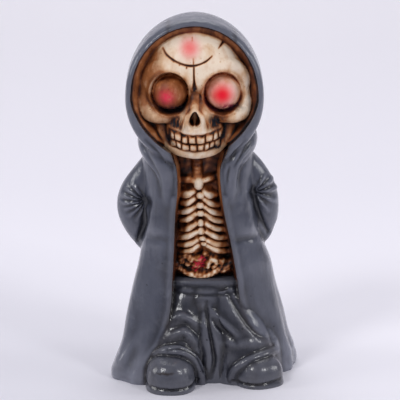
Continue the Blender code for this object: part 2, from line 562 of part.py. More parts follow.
def skull_relief(x, z):
    """Masses, bars, sockets and eyeballs, nose, teeth and cracks, in the order of carving."""
    skull = smooth_max(dome(x, z, *CRANIUM), dome(x, z, *JAW), SKULL_BLEND)
    skull = smooth_max(skull, dome(x, z, *RAMUS), SKULL_BLEND / 2)
    for *place, depth in SKULL_DENTS:
        skull = skull - depth * hill(x, z, *place)
    for rows in (*BROWS, *CHEEKS):
        skull = smooth_max(skull, bar(x, z, rows), SKULL_BLEND)
    for *place, depth in CHEEK_HOLLOWS:
        skull = skull - depth * hill(x, z, *place)
    for rows in (NASAL_BONES, *NOSE_RIMS, CHIN):
        skull = smooth_max(skull, bar(x, z, rows), SKULL_BLEND * 0.7)
    for (centre_x, centre_z, wide, tall), eye in zip(SOCKETS, EYES):
        out = np.hypot((x - centre_x) / wide, (z - centre_z) / tall)
        skull = smooth_min(skull, SOCKET_FLOOR + SOCKET_WALL * out**10, SKULL_BLEND / 2)
        skull = np.maximum(skull, dome(x, z, eye, (EYE_RADIUS,) * 3))
    centre_x, centre_z, wide, tall = NOSE_HOLE
    down = np.clip((centre_z + tall - z) / (2 * tall), 0, 1)
    out = np.hypot((x - centre_x) / (wide * (0.3 + 0.7 * down)), (z - centre_z) / tall)
    skull = smooth_min(skull, NOSE_FLOOR + NOSE_WALL * out**8, 0.3)
    skull = skull + mouth_relief(x, z)
    return skull - np.max([groove(x, z, rows) for rows in CRACKS], axis=0)


def face_relief(x, z):
    """The skull and the lining of the hood, which curves up to the rim except under the chin."""
    slope = np.clip((opening_radius(x, z) - 0.82) / 0.17, 0, 1)
    above_chin = np.clip((z - LINING_FOOT_Z) / 5, 0, 1)
    lining = LINING_FLOOR + LINING_RISE * slope**2 * (3 - 2 * slope) * above_chin
    return smooth_max(skull_relief(x, z), lining, 0.4)


def rib_rows():
    """The ribs one by one, each as x, z, relief and radius at the breastbone, halfway and at the end."""
    for i in range(RIBS):
        down = i / (RIBS - 1)
        middle = BREASTBONE[0][0] + (BREASTBONE[-1][0] - BREASTBONE[0][0]) * down
        height, drop = TOP_RIB_Z - i * RIB_PITCH, TOP_RIB_DROP if i == 0 else RIB_DROP
        left_end = LEFT_RIB_ENDS[0] + (LEFT_RIB_ENDS[1] - LEFT_RIB_ENDS[0]) * down
        right_end = RIGHT_RIB_ENDS[0] + (RIGHT_RIB_ENDS[1] - RIGHT_RIB_ENDS[0]) * down**0.55
        for inner, outer in ((middle - RIB_START, left_end), (middle + RIB_START, right_end)):
            low_end = height - drop * abs(outer - inner) / 6
            halfway = (inner + outer) / 2, (height + low_end) / 2 - RIB_SAG
            at_bone = inner, height, RIB_INNER_RELIEF, RIB_RADIUS * 0.75
            yield at_bone, (*halfway, RIB_INNER_RELIEF, RIB_RADIUS), (outer, low_end, RIB_OUTER_RELIEF, RIB_RADIUS)


def chest_relief(x, z):
    """The relief between the lapels: throat, collarbones, breastbone, ribs, pelvis and the coat's lining."""
    chest = CHEST_FLOOR + CHEST_SWELL * (1 - ((x - CHEST_MIDDLE_X) / CHEST_HALF_WIDTH) ** 2) + 0.0 * z
    for rows in rib_rows():
        chest = smooth_max(chest, bar(x, z, rows), 0.3)
    for centre_x, centre_z, wide, tall in BREASTBONE:
        centre, half_sizes = (centre_x, -BEAD_RELIEF, centre_z), (wide, BEAD_DEPTH, tall)
        chest = smooth_max(chest, dome(x, z, centre, half_sizes), 0.3)
    for rows in (THROAT, *COLLARBONES, *PELVIS):
        chest = smooth_max(chest, bar(x, z, rows), 0.4)
    for knob in KNOBS:
        chest = smooth_max(chest, dome(x, z, *knob), 0.4)
    left, right = at_height(LAPELS, z)
    near_edge = np.clip(1 - np.minimum(x - left, right - x) / STRIP_WIDTH, 0, 1)
    rise = STRIP_RISE - STRIP_TOP_DROP * np.clip((z - STRIP_TOP_Z) / 4, 0, 1)
    return smooth_max(chest, CHEST_FLOOR + rise * near_edge**1.4, 0.3)


def relief_panel(name, relief, heights, left, right, columns, collection):
    """A solid whose front is a relief over level rows that run from left to right, with a flat back."""
    share = np.linspace(0, 1, columns)
    x = left[:, None] + (right - left)[:, None] * share
    z = np.repeat(heights[:, None], columns, axis=1)
    front = -relief(x, z)
    rings = []
    for row_x, row_y, height, first, last in zip(x, front, heights, left, right):
        ring = [Vector((a, b, height)) for a, b in zip(row_x, row_y)]
        rings.append([*ring, Vector((last, PANEL_BACK_Y, height)), Vector((first, PANEL_BACK_Y, height))])
    return loft(name, rings, collection)


def face(collection):
    """The skull and the lining round it, out to the middle of the hood's wall."""
    share = np.linspace(-0.995, 0.995, FACE_ROWS)
    heights = HOOD_Z + share * np.where(share > 0, OPENING_RISE + PANEL_OVERLAP, OPENING_DROP)
    half_width = (OPENING_HALF_WIDTH + PANEL_OVERLAP) * np.sqrt(1 - share**2)
    ends = HOOD_X - half_width, HOOD_X + half_width
    return relief_panel("face", face_relief, heights, *ends, FACE_ROWS, collection)


def chest(collection):
    heights = np.linspace(CHEST_FOOT_Z, CHEST_TOP_Z, CHEST_ROWS)
    left, right = at_height(LAPELS, heights)
    ends = left - PANEL_OVERLAP, right + PANEL_OVERLAP
    return relief_panel("chest", chest_relief, heights, *ends, CHEST_ROWS // 2, collection)


def hood(collection):
    """The hood as rings from the rim to the back, each a smaller egg as the crown rounds off."""
    depth = HOOD_BACK_Y - HOOD_RIM_Y
    turn = np.linspace(0, 2 * np.pi, 96, endpoint=False)
    side, up = np.cos(turn), np.sin(turn)
    side = np.sign(side) * np.abs(side) ** HOOD_SIDE_POWER
    up = np.where(up > 0, HOOD_RISE * np.abs(up) ** HOOD_PEAK_POWER, HOOD_DROP * up)
    rings = []
    for along in (1 - np.cos(np.linspace(0, np.pi, 40))) / 2:
        front = min(1.0, depth * along / RIM_ROUNDING)
        crown = max(0.0, (along - CROWN_START) / (1 - CROWN_START))
        rim = 1 - RIM_INSET + RIM_INSET * math.sqrt(1 - (1 - front) ** 2)
        size = rim * max(0.02, math.sqrt(max(0.0, 1 - crown**CROWN_POWER)))
        dipped = up * (1 - RIM_DIP * max(0.0, 1 - along / 0.45) ** 2)
        y = HOOD_RIM_Y + depth * along + RIM_LEAN * (1 - along) * np.maximum(0, dipped / HOOD_RISE) ** 2
        x = HOOD_X + HOOD_HALF_WIDTH * side * size
        rings.append([Vector(p) for p in zip(x, y, HOOD_Z + dipped * size)])
    return loft("hood", rings, collection)


def fold_height(bearing, height):
    """How far the skirt's folds and the full front panels lift the cloth, by bearing and height."""
    total = 0.0
    for centre, width, rise, top, bottom in COAT_FOLDS:
        away = (bearing - centre + 180) % 360 - 180
        total += rise * min(1.0, max(0.0, (top - height) / (top - bottom))) * math.exp(-((away / width) ** 2))
    below = min(1.0, max(0.0, (PANEL_TOP_Z - height) / (PANEL_TOP_Z - PANEL_FULL_Z)))
    above = min(1.0, max(0.0, (height - DENT_Z) / DENT_HEIGHT))
    for centre, width, rise in PANEL_SWELLS:
        total += rise * below**2 * above * math.exp(-(((bearing - centre) / width) ** 2))
    return total


def coat(collection):
    """The coat as level rings, each an ellipse with its own front and back depth, turned by the sweep."""
    rings = []
    for height, centre, half_width, front, back, sweep in through(COAT):
        ring = []
        for i in range(120):
            angle = 2 * math.pi * i / 120
            across, away = math.sin(angle), -math.cos(angle)
            bearing = math.degrees(math.atan2(across, -away))
            lift = 1 + fold_height(bearing, height) / half_width
            x = half_width * math.copysign(abs(across) ** COAT_SIDE_POWER, across) * lift
            depth = front if away < 0 else back
            y = depth * math.copysign(abs(away) ** COAT_FRONT_POWER, away) * lift
            ring.append(Vector((centre + x, y + sweep * x, height)))
        rings.append(ring)
    return loft("coat", rings, collection)


def lapel_bead(side, collection):
    """A thin bar along one edge of the opening, most of it sunk in the coat's front."""
    z = np.linspace(*BEAD_SPAN, 26)
    left, right = at_height(LAPELS, z)
    centre, half_width, front, _, sweep = at_height(COAT, z)
    x = left - BEAD_INSET if side < 0 else right + BEAD_INSET
    across = np.clip(np.abs(x - centre) / half_width, 0, 0.999) ** (1 / COAT_SIDE_POWER)
    y = BEAD_SINK - front * np.sqrt(1 - across**2) ** COAT_FRONT_POWER + sweep * (x - centre)
    return limb("lapel_bead", np.column_stack([x, y, z, np.full(26, BEAD_RADIUS)]), collection)


def opening_cutters(collection):
    """What is cut out of the front of the cloth: an egg for the face and a slot between the lapels."""
    stations = through(LAPELS, per_span=4)
    slot = [(left, z) for z, left, _ in stations] + [(right, z) for z, _, right in stations[::-1]]
    return [prism("face_opening", opening_outline(96), CUT_FROM_Y, OPENING_FLOOR_Y, collection),
            prism("front_opening", slot, CUT_FROM_Y, CHEST_FLOOR_Y, collection)]


def gathers(points):
    """Ridges that fan out from the crook of each elbow, rising and fading with distance."""
    x, z = points[:, 0], points[:, 2]
    total = np.zeros(len(points))
    for (crook_x, crook_z), ridges in CROOKS:
        out = np.hypot(x - crook_x, z - crook_z)
        bearing = np.degrees(np.arctan2(z - crook_z, x - crook_x))
        for angle, rise, length in ridges:
            off = (bearing - angle + 180) % 360 - 180
            along = np.clip(out / length, 0, 1)
            total += rise * np.exp(-((off / GATHER_WIDTH) ** 2)) * np.sin(np.pi * along**0.7) * (out < length)
        total -= CROOK_DEPTH * np.exp(-((out / CROOK_RADIUS) ** 2))
    return total


def work_cloth(obj):
    """Moves each point along its own normal by the gathers and creases. Creases act on the front only."""
    points, normals = point_array(obj.data.vertices, "co") / MM, point_array(obj.data.vertices, "normal")
    facing = np.clip(0.5 - 1.6 * normals[:, 1], 0, 1)
    lift = gathers(points) * (points[:, 1] < GATHER_BACK_Y) * np.clip(0.9 - normals[:, 1], 0, 1)
    front = np.flatnonzero(facing > 0)
    for rows in CREASES:
        lift[front] -= groove(points[front, 0], points[front, 2], rows) * facing[front]
    moved = (points + normals * lift[:, None]) * MM
    obj.data.vertices.foreach_set("co", moved.ravel())


def cloth(collection, cutter_collection):
    """Hood, coat and sleeves, open at the front."""
    forms = [hood(collection), coat(collection)]
    forms += [limb("sleeve", rows, collection) for rows in (LEFT_SLEEVE, RIGHT_SLEEVE)]
    forms += [limb("cowl", rows, collection) for rows in COWL]
    forms += [lapel_bead(side, collection) for side in (-1, 1)]
    made = joined("cloth", forms, collection)
    fuse(made, 3)
    cut(made, opening_cutters(cutter_collection))
    return made


def trousers(collection):
    made = [ellipsoid("hips", *HIPS, collection), ellipsoid("filling", *FILLING, collection, power=BLOCKY)]
    made.append(ellipsoid("waistband", *WAISTBAND, collection, power=WAISTBAND_POWER))
    made += [limb("leg", rows, collection) for rows in LEGS]
    return made + [limb("hem", rows, collection) for rows in HEMS]


def shoes(collection):
    return [ellipsoid("shoe", *form, collection, turn, BLOCKY) for *form, turn in SHOES]


def clothes(collection, cutter_collection):
    """Everything but the bones, fused and then worked over with folds."""
    forms = [cloth(collection, cutter_collection), *trousers(collection), *shoes(collection)]
    made = joined("clothes", forms, collection)
    fuse(made, 2)
    made = joined("clothes", [made], collection)
    work_cloth(made)
    return made


def ground_cutter(collection):
    """A block whose top is the plane that the figure stands on."""
    bm = bmesh.new()
    bmesh.ops.create_cube(bm, size=1.0)
    bmesh.ops.scale(bm, vec=Vector(GROUND_BLOCK), verts=bm.verts)
    bmesh.ops.translate(bm, vec=Vector((0, 0, -GROUND_BLOCK[2] / 2)), verts=bm.verts)
    return object_from(bm, "ground", collection)


def stand_over_origin(obj):
    """Moves the casting so that the middle of its footprint is the origin and its underside is Z = 0."""
    mesh = evaluated_mesh(obj)
    points = point_array(mesh.vertices, "co")
    bpy.data.meshes.remove(mesh)
    low, high = points.min(axis=0), points.max(axis=0)
    obj.location = Vector((-(low[0] + high[0]) / 2, -(low[1] + high[1]) / 2, -low[2]))


def resin_paint():
    material = bpy.data.materials.new("painted_resin")
    material.use_nodes = True
    shader = material.node_tree.nodes["Principled BSDF"]
    shader.inputs["Base Color"].default_value = COAT_GREY
    shader.inputs["Roughness"].default_value = 0.38
    shader.inputs["Metallic"].default_value = 0.0
    return material


def main():
    clear_scene()
    figure = collection_named("skeleton_figurine")
    cutters = collection_named("cutters", hidden=True)
    casting = joined("skeleton_figurine", [clothes(figure, cutters), face(figure), chest(figure)], figure)
    fuse(casting, 1)
    cut(casting, [ground_cutter(cutters)])
    fine = evaluated_mesh(casting)
    fine.calc_loop_triangles()
    facet = casting.modifiers.new("Facet", "DECIMATE")
    facet.ratio = min(1.0, TRIANGLES / len(fine.loop_triangles))
    bpy.data.meshes.remove(fine)
    stand_over_origin(casting)
    casting.data.materials.append(resin_paint())


main()
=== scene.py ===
# %% [markdown]
# A little painted figurine: a skeleton in a hooded coat, cast in resin and painted by hand.
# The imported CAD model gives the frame: where the figure stands and how tall it is. Everything below
# is worked out in millimetres of a figure 120 mm tall, and MM turns that into metres of the frame.

# %% Load the frame and measure it
import bpy
import numpy as np
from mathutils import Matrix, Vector


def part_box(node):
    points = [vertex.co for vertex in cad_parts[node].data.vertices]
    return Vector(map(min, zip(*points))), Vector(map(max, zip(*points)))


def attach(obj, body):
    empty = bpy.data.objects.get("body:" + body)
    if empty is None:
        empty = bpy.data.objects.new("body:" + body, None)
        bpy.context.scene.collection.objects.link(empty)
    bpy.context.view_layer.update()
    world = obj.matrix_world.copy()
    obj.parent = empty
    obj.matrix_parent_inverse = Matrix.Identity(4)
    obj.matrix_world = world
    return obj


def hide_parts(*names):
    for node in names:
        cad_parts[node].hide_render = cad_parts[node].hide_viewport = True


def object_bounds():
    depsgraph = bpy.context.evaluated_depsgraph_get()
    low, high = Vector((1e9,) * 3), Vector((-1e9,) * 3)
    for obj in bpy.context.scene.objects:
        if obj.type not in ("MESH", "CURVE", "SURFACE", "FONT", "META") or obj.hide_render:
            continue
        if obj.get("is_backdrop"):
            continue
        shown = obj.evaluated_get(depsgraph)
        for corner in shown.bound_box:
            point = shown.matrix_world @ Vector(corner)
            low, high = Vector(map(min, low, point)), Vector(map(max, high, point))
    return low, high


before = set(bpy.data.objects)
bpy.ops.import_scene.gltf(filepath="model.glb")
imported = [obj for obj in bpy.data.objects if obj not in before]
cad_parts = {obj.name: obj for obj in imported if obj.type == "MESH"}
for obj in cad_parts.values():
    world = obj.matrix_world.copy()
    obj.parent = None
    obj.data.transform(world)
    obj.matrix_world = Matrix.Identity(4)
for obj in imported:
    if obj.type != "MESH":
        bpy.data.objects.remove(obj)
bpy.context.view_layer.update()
NODE = "skeleton_figurine"
low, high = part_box(NODE)
MM = (high.z - low.z) / 120
print("frame height", round(high.z - low.z, 4), "m")

# %% [markdown]
# A sculptor blocks out a figure in masses and then works over them. Here each mass is a surface
# worked out with numpy: level rings for the hood and the coat, round bars for limbs and rolls of
# cloth, and two reliefs, heights over a grid, for the skull and the ribcage. A relief is the right
# tool for carving that is seen from the front, because every feature is a sum or a maximum of hills.


# %% Curves and solids
TIP_RADIUS = 0.02


def through(rows, per_span):
    """More rows on a smooth curve through the given ones: a Catmull-Rom cubic in every column."""
    rows = np.array(rows, float)
    padded = np.vstack([2 * rows[0] - rows[1], rows, 2 * rows[-1] - rows[-2]])
    a, b, c, d = (padded[i : i + len(rows) - 1, None] for i in range(4))
    t = (np.arange(per_span) / per_span)[None, :, None]
    cubic = 2 * b + (c - a) * t + (2 * a - 5 * b + 4 * c - d) * t**2 + (3 * b - a - 3 * c + d) * t**3
    return np.vstack([0.5 * cubic.reshape(-1, rows.shape[1]), rows[-1:]])


def added(name, data):
    """A new object that shows the given mesh, light or camera, linked into the scene."""
    made = bpy.data.objects.new(name, data)
    bpy.context.scene.collection.objects.link(made)
    return made


def meshed(name, points, faces):
    """A new object with a mesh of its own, from points in metres and faces that number them."""
    mesh = bpy.data.meshes.new(name)
    mesh.from_pydata(points.tolist(), [], faces)
    return added(name, mesh)


def solid(name, rings):
    """A closed mesh from an array of rings x points x 3 in millimetres, capped at both ends."""
    count, around = rings.shape[:2]
    index = np.arange(count * around).reshape(count, around)
    after = np.roll(index, -1, axis=1)
    quads = np.stack([index[:-1], after[:-1], after[1:], index[1:]], axis=-1).reshape(-1, 4)
    points = rings.reshape(-1, 3)
    a, b, c = points[quads[:, 0]], points[quads[:, 1]], points[quads[:, 2]]
    outward = np.einsum("ij,ij->i", np.cross(b - a, c - a), a - points.mean(0)).sum() > 0
    faces = [list(q) for q in quads.tolist()] + [index[0, ::-1].tolist(), index[-1].tolist()]
    if not outward:
        faces = [face[::-1] for face in faces]
    return meshed(name, points * MM, faces)


def limb(name, rows, around):
    """A round bar along a smooth line through x, y, z and radius; each ring stands square to the line.

    The circles start from a direction near +Y, which no bar runs along, and each end is a small tip."""
    stations = through(rows, 10)
    middle, radius = stations[:, :3], stations[:, 3]
    along = np.gradient(middle, axis=0)
    along /= np.linalg.norm(along, axis=1, keepdims=True)
    side = np.cross(along, [0.0, 1.0, 0.05])
    side /= np.linalg.norm(side, axis=1, keepdims=True)
    up = np.cross(side, along)
    turn = np.linspace(0, 2 * np.pi, around, endpoint=False)
    circle = side[:, None] * np.cos(turn)[None, :, None] + up[:, None] * np.sin(turn)[None, :, None]
    rings = middle[:, None] + circle * radius[:, None, None]
    tips = [middle[ends, None] + circle[ends] * TIP_RADIUS for ends in (slice(0, 1), slice(-1, None))]
    return solid(name, np.concatenate([tips[0], rings, tips[1]]))


# %% Relief tools
def smooth_max(a, b, blend):
    """The higher of two reliefs, with a quadratic fillet as wide as blend where they cross."""
    share = np.clip(0.5 + 0.5 * (a - b) / blend, 0, 1)
    return b + (a - b) * share + blend * share * (1 - share)


def smooth_min(a, b, blend):
    """The lower of two reliefs, with a rounded edge where they cross."""
    return -smooth_max(-a, -b, blend)


def dome(x, z, centre, half):
    """Relief of an ellipsoid's front: b times the root of 1 - (x/a)^2 - (z/c)^2, falling away outside."""
    inside = 1 - ((x - centre[0]) / half[0]) ** 2 - ((z - centre[2]) / half[2]) ** 2
    return -centre[1] + half[1] * np.sign(inside) * np.sqrt(np.abs(inside))


def path_distance(x, z, rows):
    """Distance to a smooth path through x, z and more columns, and those columns at the nearest point."""
    stations = through(rows, 4)
    nearest = np.full(np.shape(x), 1e9)
    found = np.zeros((*np.shape(x), stations.shape[1] - 2))
    for start, end in zip(stations, stations[1:]):
        step_x, step_z = end[:2] - start[:2]
        t = np.clip(((x - start[0]) * step_x + (z - start[1]) * step_z) / (step_x**2 + step_z**2), 0, 1)
        away = np.hypot(x - start[0] - t * step_x, z - start[1] - t * step_z)
        closer = away < nearest
        nearest = np.where(closer, away, nearest)
        found = np.where(closer[..., None], start[2:] + t[..., None] * (end[2:] - start[2:]), found)
    return nearest, found


def bar(x, z, rows):
    """Relief of a round bar along a smooth line through x, z, relief and radius: relief + root(r^2 - d^2)."""
    away, found = path_distance(x, z, rows)
    rise, radius = found[..., 0], found[..., 1]
    inside = 1 - (away / radius) ** 2
    return rise + radius * np.sign(inside) * np.sqrt(np.abs(inside))


def oval(x, z, centre_x, centre_z, wide, tall):
    """1 on the edge of an ellipse and less inside: the length of the offset, each way by its own width."""
    return np.hypot((x - centre_x) / wide, (z - centre_z) / tall)


def hill(x, z, centre_x, centre_z, wide, tall):
    """A bell of height 1: e to the minus squared distance, each way by its own width."""
    return np.exp(-(((x - centre_x) / wide) ** 2) - ((z - centre_z) / tall) ** 2)


def dented(relief, x, z, dents):
    """A relief less one bell for each dent: depth, centre x and z, half width and half height."""
    for deep, *bell in dents:
        relief = relief - deep * hill(x, z, *bell)
    return relief


def step_up(value, low, high):
    """0 below low, 1 above high and a soft S between them."""
    share = np.clip((value - low) / (high - low), 0, 1)
    return share**2 * (3 - 2 * share)


def groove(x, z, rows):
    """A scratch along a path of x, z, depth and half width, with a bell profile."""
    away, found = path_distance(x, z, rows)
    return found[..., 0] * np.exp(-((away / found[..., 1]) ** 2))


# %% [markdown]
# The skull fills the hood. Two big ellipsoids, cranium and jaw, carry brow, cheekbones, nasal bones
# and chin as bars; the sockets are cut with a steep bowl and each holds a round ball. The teeth
# follow one smile line: a tooth is high in the middle and falls off at its four sides.

# %% Places on the skull and round the hood's opening
HOOD_X, HOOD_Z = -3.2, 94.0
HOOD_HALF_WIDTH, HOOD_RISE, HOOD_DROP = 22.1, 26.0, 23.0
OPENING_HALF_WIDTH, OPENING_RISE, OPENING_DROP = 20.3, 23.2, 20.0

CRANIUM = ((-3.6, -3.4, 99.5), (17.6, 12.3, 16.6))
JAW = ((-3.2, -6.4, 84.6), (9.8, 10.6, 9.8))
RAMUS = ((-3.0, -3.8, 86.2), (12.6, 8.0, 11.0))
BROWS = (
    ((-5.0, 99.2, 13.5, 1.7), (-5.4, 101.0, 13.6, 1.9), (-7.6, 103.4, 12.0, 2.2), (-11.8, 104.7, 10.3, 2.4),
     (-15.8, 103.5, 8.6, 2.3), (-18.6, 100.4, 7.2, 1.9), (-19.3, 96.4, 6.4, 1.7)),
    ((-1.5, 99.2, 13.5, 1.6), (-1.0, 101.0, 13.6, 1.9), (2.4, 103.8, 12.0, 2.2), (6.8, 105.0, 10.3, 2.4),
     (10.5, 103.6, 9.0, 2.2), (12.8, 100.6, 8.2, 1.8), (13.0, 97.4, 7.8, 1.4), (13.1, 94.6, 7.6, 1.5)),
)
CHEEKS = (
    ((-5.0, 93.0, 12.4, 0.9), (-6.5, 89.9, 12.8, 1.1), (-9.4, 88.0, 12.4, 1.4), (-13.4, 87.9, 10.9, 2.1),
     (-17.4, 89.2, 8.6, 2.8), (-19.3, 92.4, 7.0, 2.4), (-19.5, 96.4, 6.2, 1.8)),
    ((-0.6, 93.0, 12.4, 0.9), (0.9, 90.0, 12.8, 1.1), (3.8, 88.2, 12.4, 1.4), (7.6, 88.1, 11.1, 2.1),
     (11.4, 89.4, 9.4, 2.7), (13.0, 92.4, 8.4, 2.1), (13.1, 95.4, 7.6, 1.4)),
)
NASAL_BONES = ((-3.2, 97.0, 9.6, 1.7), (-3.2, 93.6, 12.6, 1.4), (-3.2, 91.0, 15.0, 1.3))
NOSE_RIMS = (
    ((-3.2, 91.2, 15.2, 1.0), (-5.0, 89.0, 15.4, 1.1), (-5.5, 86.6, 15.4, 1.3), (-6.0, 84.6, 14.8, 1.4)),
    ((-3.2, 91.2, 15.2, 1.0), (-1.4, 89.0, 15.4, 1.1), (-0.9, 86.6, 15.4, 1.3), (-0.4, 84.6, 14.8, 1.4)),
)
CHIN = ((-14.0, 88.0, 6.0, 2.0), (-13.3, 83.2, 6.6, 2.1), (-11.6, 79.6, 7.4, 2.1), (-9.0, 77.6, 8.8, 2.2),
        (-6.0, 76.9, 10.2, 2.2), (-2.8, 76.7, 11.2, 2.2), (0.6, 77.0, 10.4, 2.2), (3.6, 78.0, 9.0, 2.2),
        (6.2, 80.4, 7.6, 2.1), (7.8, 84.0, 6.8, 2.1), (8.4, 88.0, 6.0, 2.0))
SOCKETS = ((-11.2, 95.9, 6.6, 7.1), (5.8, 96.1, 6.4, 7.0))
EYES = ((-10.9, -8.5, 95.8), (5.8, -8.5, 95.9))
EYE_RADIUS = 5.7
NOSE_HOLE = (-3.15, 88.4, 2.5, 2.5)
# Depth, centre x and z, half width and half height: the nose's root and the temples, then the cheeks
DENTS = ((4.2, -3.2, 95.2, 3.6, 2.4), (0.9, -16.2, 106.0, 2.6, 3.4), (0.7, 10.4, 106.6, 2.4, 3.0))
CHEEK_HOLLOWS = ((4.2, -8.5, 86.6, 2.2, 2.2), (4.2, 2.7, 86.8, 2.4, 2.2), (1.6, -12.8, 84.6, 1.6, 3.4),
                 (1.6, 7.0, 84.8, 1.5, 3.2))
UPPER_EDGES = (-11.1, -9.5, -7.45, -5.15, -2.6, 0.3, 2.6, 4.5, 5.9)
LOWER_EDGES = (-10.8, -9.1, -7.2, -4.75, -2.45, -0.1, 1.5, 3.2, 5.0)
MOUTH_X, BITE_Z, SMILE = -3.0, 80.1, 0.021
CRACKS = (
    ((-13.2, 110.3, 0.25, 0.28), (-12.0, 108.5, 0.45, 0.32), (-9.8, 107.0, 0.55, 0.33), (-7.4, 106.0, 0.55, 0.33),
     (-5.2, 105.5, 0.55, 0.33), (-3.2, 105.5, 0.55, 0.33), (-1.2, 106.0, 0.5, 0.32), (0.7, 106.9, 0.45, 0.30),
     (2.3, 108.2, 0.25, 0.25)),
    ((-3.4, 105.6, 0.45, 0.27), (-3.4, 103.0, 0.5, 0.28), (-3.3, 100.6, 0.8, 0.30), (-3.2, 98.2, 1.8, 0.5)),
    ((5.9, 111.9, 0.5, 0.34), (5.1, 111.1, 0.45, 0.32), (4.4, 110.3, 0.25, 0.22)),
    ((-3.9, 113.6, 0.25, 0.26), (-3.9, 112.8, 0.2, 0.22)),
    ((-10.4, 107.6, 0.2, 0.24), (-9.7, 106.6, 0.3, 0.26)),
    ((-8.1, 106.8, 0.2, 0.22), (-7.9, 105.6, 0.3, 0.24)),
    ((-5.6, 105.8, 0.2, 0.22), (-5.7, 104.8, 0.35, 0.26)),
    ((-3.6, 107.6, 0.15, 0.2), (-3.5, 105.8, 0.3, 0.24)),
)
PIT_SIZE = 0.28
PITS = ((0.45, 4.9, 106.4), (0.3, 3.2, 110.6), (0.25, -1.2, 107.6), (0.3, -8.0, 102.9), (0.35, 9.6, 89.4),
        (0.3, -13.0, 88.6), (0.25, 7.2, 107.9), (0.3, -12.4, 112.0))
print(len(CRACKS), "cracks,", len(PITS), "pits,", len(UPPER_EDGES) + len(LOWER_EDGES) - 2, "teeth")


# %% Carve the skull and the lining of the hood
def opening_radius(x, z):
    """1 on the inner edge of the hood: a superellipse with a soft peak above, and more pointed below."""
    across = np.abs(x - HOOD_X) / OPENING_HALF_WIDTH
    above, below = (np.abs(z - HOOD_Z) / reach for reach in (OPENING_RISE, OPENING_DROP))
    upper = (across**1.95 + above**2.25) ** (1 / 2.1)
    return np.where(z > HOOD_Z, upper, (across**1.6 + below**1.6) ** (1 / 1.6))


def tooth_row(x, up, edges, height):
    """From 0 in the gaps to 1 on the crowns: up is the distance from the bite line into the row."""
    place = np.interp(x, edges, np.arange(len(edges)))
    across = 1 - np.abs(2 * (place % 1) - 1) ** 4
    inside = (x > edges[0]) & (x < edges[-1])
    return across * np.clip(1 - np.abs(2 * up / height - 1) ** 3, 0, 1) * inside


def bite_line(x):
    """Height of the bite: a parabola that smiles."""
    return BITE_Z + SMILE * (x - MOUTH_X) ** 2


def tooth_cover(x, z):
    """The upper and the lower row: 0 in the gaps and 1 on the crowns."""
    up = z - bite_line(x)
    leaning = x + 0.10 * up * np.sin(1.9 * x)
    upper = tooth_row(leaning, up - 0.12 * np.sin(1.3 * x), UPPER_EDGES, 3.0 + 0.3 * np.sin(2.1 * x))
    return upper, tooth_row(leaning, 0.12 * np.sin(1.3 * x) - up, LOWER_EDGES, 2.75 + 0.25 * np.sin(1.7 * x + 1))


def mouth_cover(x, z):
    """1 on the two rows of teeth and the gaps between them."""
    up = np.abs(z - bite_line(x) - 0.2)
    return step_up(3.5 - up, 0, 0.6) * step_up(8.8 - np.abs(x - MOUTH_X + 0.2), 0, 0.8)


def cracks(x, z):
    """Depth of the deepest crack at each spot."""
    return np.max([groove(x, z, rows) for rows in CRACKS], axis=0)


def skull_relief(x, z):
    """Masses, bars, sockets and eyeballs, nose, teeth, cracks and pits, in the order of carving."""
    skull = smooth_max(dome(x, z, *CRANIUM), dome(x, z, *JAW), 1.6)
    skull = smooth_max(skull, dome(x, z, *RAMUS), 0.8)
    skull = dented(skull, x, z, DENTS)
    for rows in (*BROWS, *CHEEKS):
        skull = smooth_max(skull, bar(x, z, rows), 1.5)
    skull = dented(skull, x, z, CHEEK_HOLLOWS)
    for rows, blend in ((NASAL_BONES, 2.4), (NOSE_RIMS[0], 1.1), (NOSE_RIMS[1], 1.1), (CHIN, 1.1)):
        skull = smooth_max(skull, bar(x, z, rows), blend)
    for socket, eye in zip(SOCKETS, EYES):
        skull = smooth_min(skull, 7.0 + 6.5 * oval(x, z, *socket) ** 10, 0.8)
        skull = np.maximum(skull, dome(x, z, eye, (EYE_RADIUS,) * 3))
    centre_x, centre_z, wide, tall = NOSE_HOLE
    down = np.clip((centre_z + tall - z) / (2 * tall), 0, 1)
    out = oval(x, z, centre_x, centre_z, wide * (0.3 + 0.7 * down), tall)
    skull = smooth_min(skull, 11.2 + 4.2 * out**8 + 1.8 * hill(x, z, centre_x, centre_z - 1.8, 0.45, 1.1), 0.3)
    up = z - bite_line(x)
    upper, lower = tooth_cover(x, z)
    trough = np.clip(1.3 - np.abs((up - 0.2) / 3.3) ** 3, 0, 1) * np.clip(8.6 - np.abs(x - MOUTH_X + 0.2), 0, 1)
    skull = skull + 1.5 * np.maximum(upper, lower) - 1.1 * trough
    roots = np.cos(2 * np.pi * np.interp(x, UPPER_EDGES, np.arange(len(UPPER_EDGES))) + np.pi)
    skull = skull + 0.24 * roots * hill(x, up, MOUTH_X, 4.3, 7.5, 1.1)
    return dented(skull - cracks(x, z), x, z, [(*pit, PIT_SIZE, PIT_SIZE) for pit in PITS])


def lining_relief(x, z):
    """The inside of the hood: a floor that curves up to the rim, except under the chin."""
    slope = np.clip((opening_radius(x, z) - 0.82) / 0.17, 0, 1)
    floor = 4.4 + 2.8 * np.clip((z - 80) / 6, 0, 1)
    rim = 10.4 - 1.8 * np.clip((z - HOOD_Z) / OPENING_RISE, 0, 1) ** 2
    return floor + (rim - floor) * slope**2 * (3 - 2 * slope) * np.clip((z - 75) / 5, 0, 1)


def face_relief(x, z):
    """The higher of skull and lining."""
    return smooth_max(skull_relief(x, z), lining_relief(x, z), 0.9)


# %% [markdown]
# Between the lapels the ribcage shows: a throat, two collarbones, a breastbone of beads, eight pairs
# of ribs that hang outwards, and the bowl of the pelvis with its knobs. Each rib is a bar that dives
# as it leaves the breastbone, so the wash of paint can pool between one and the next.

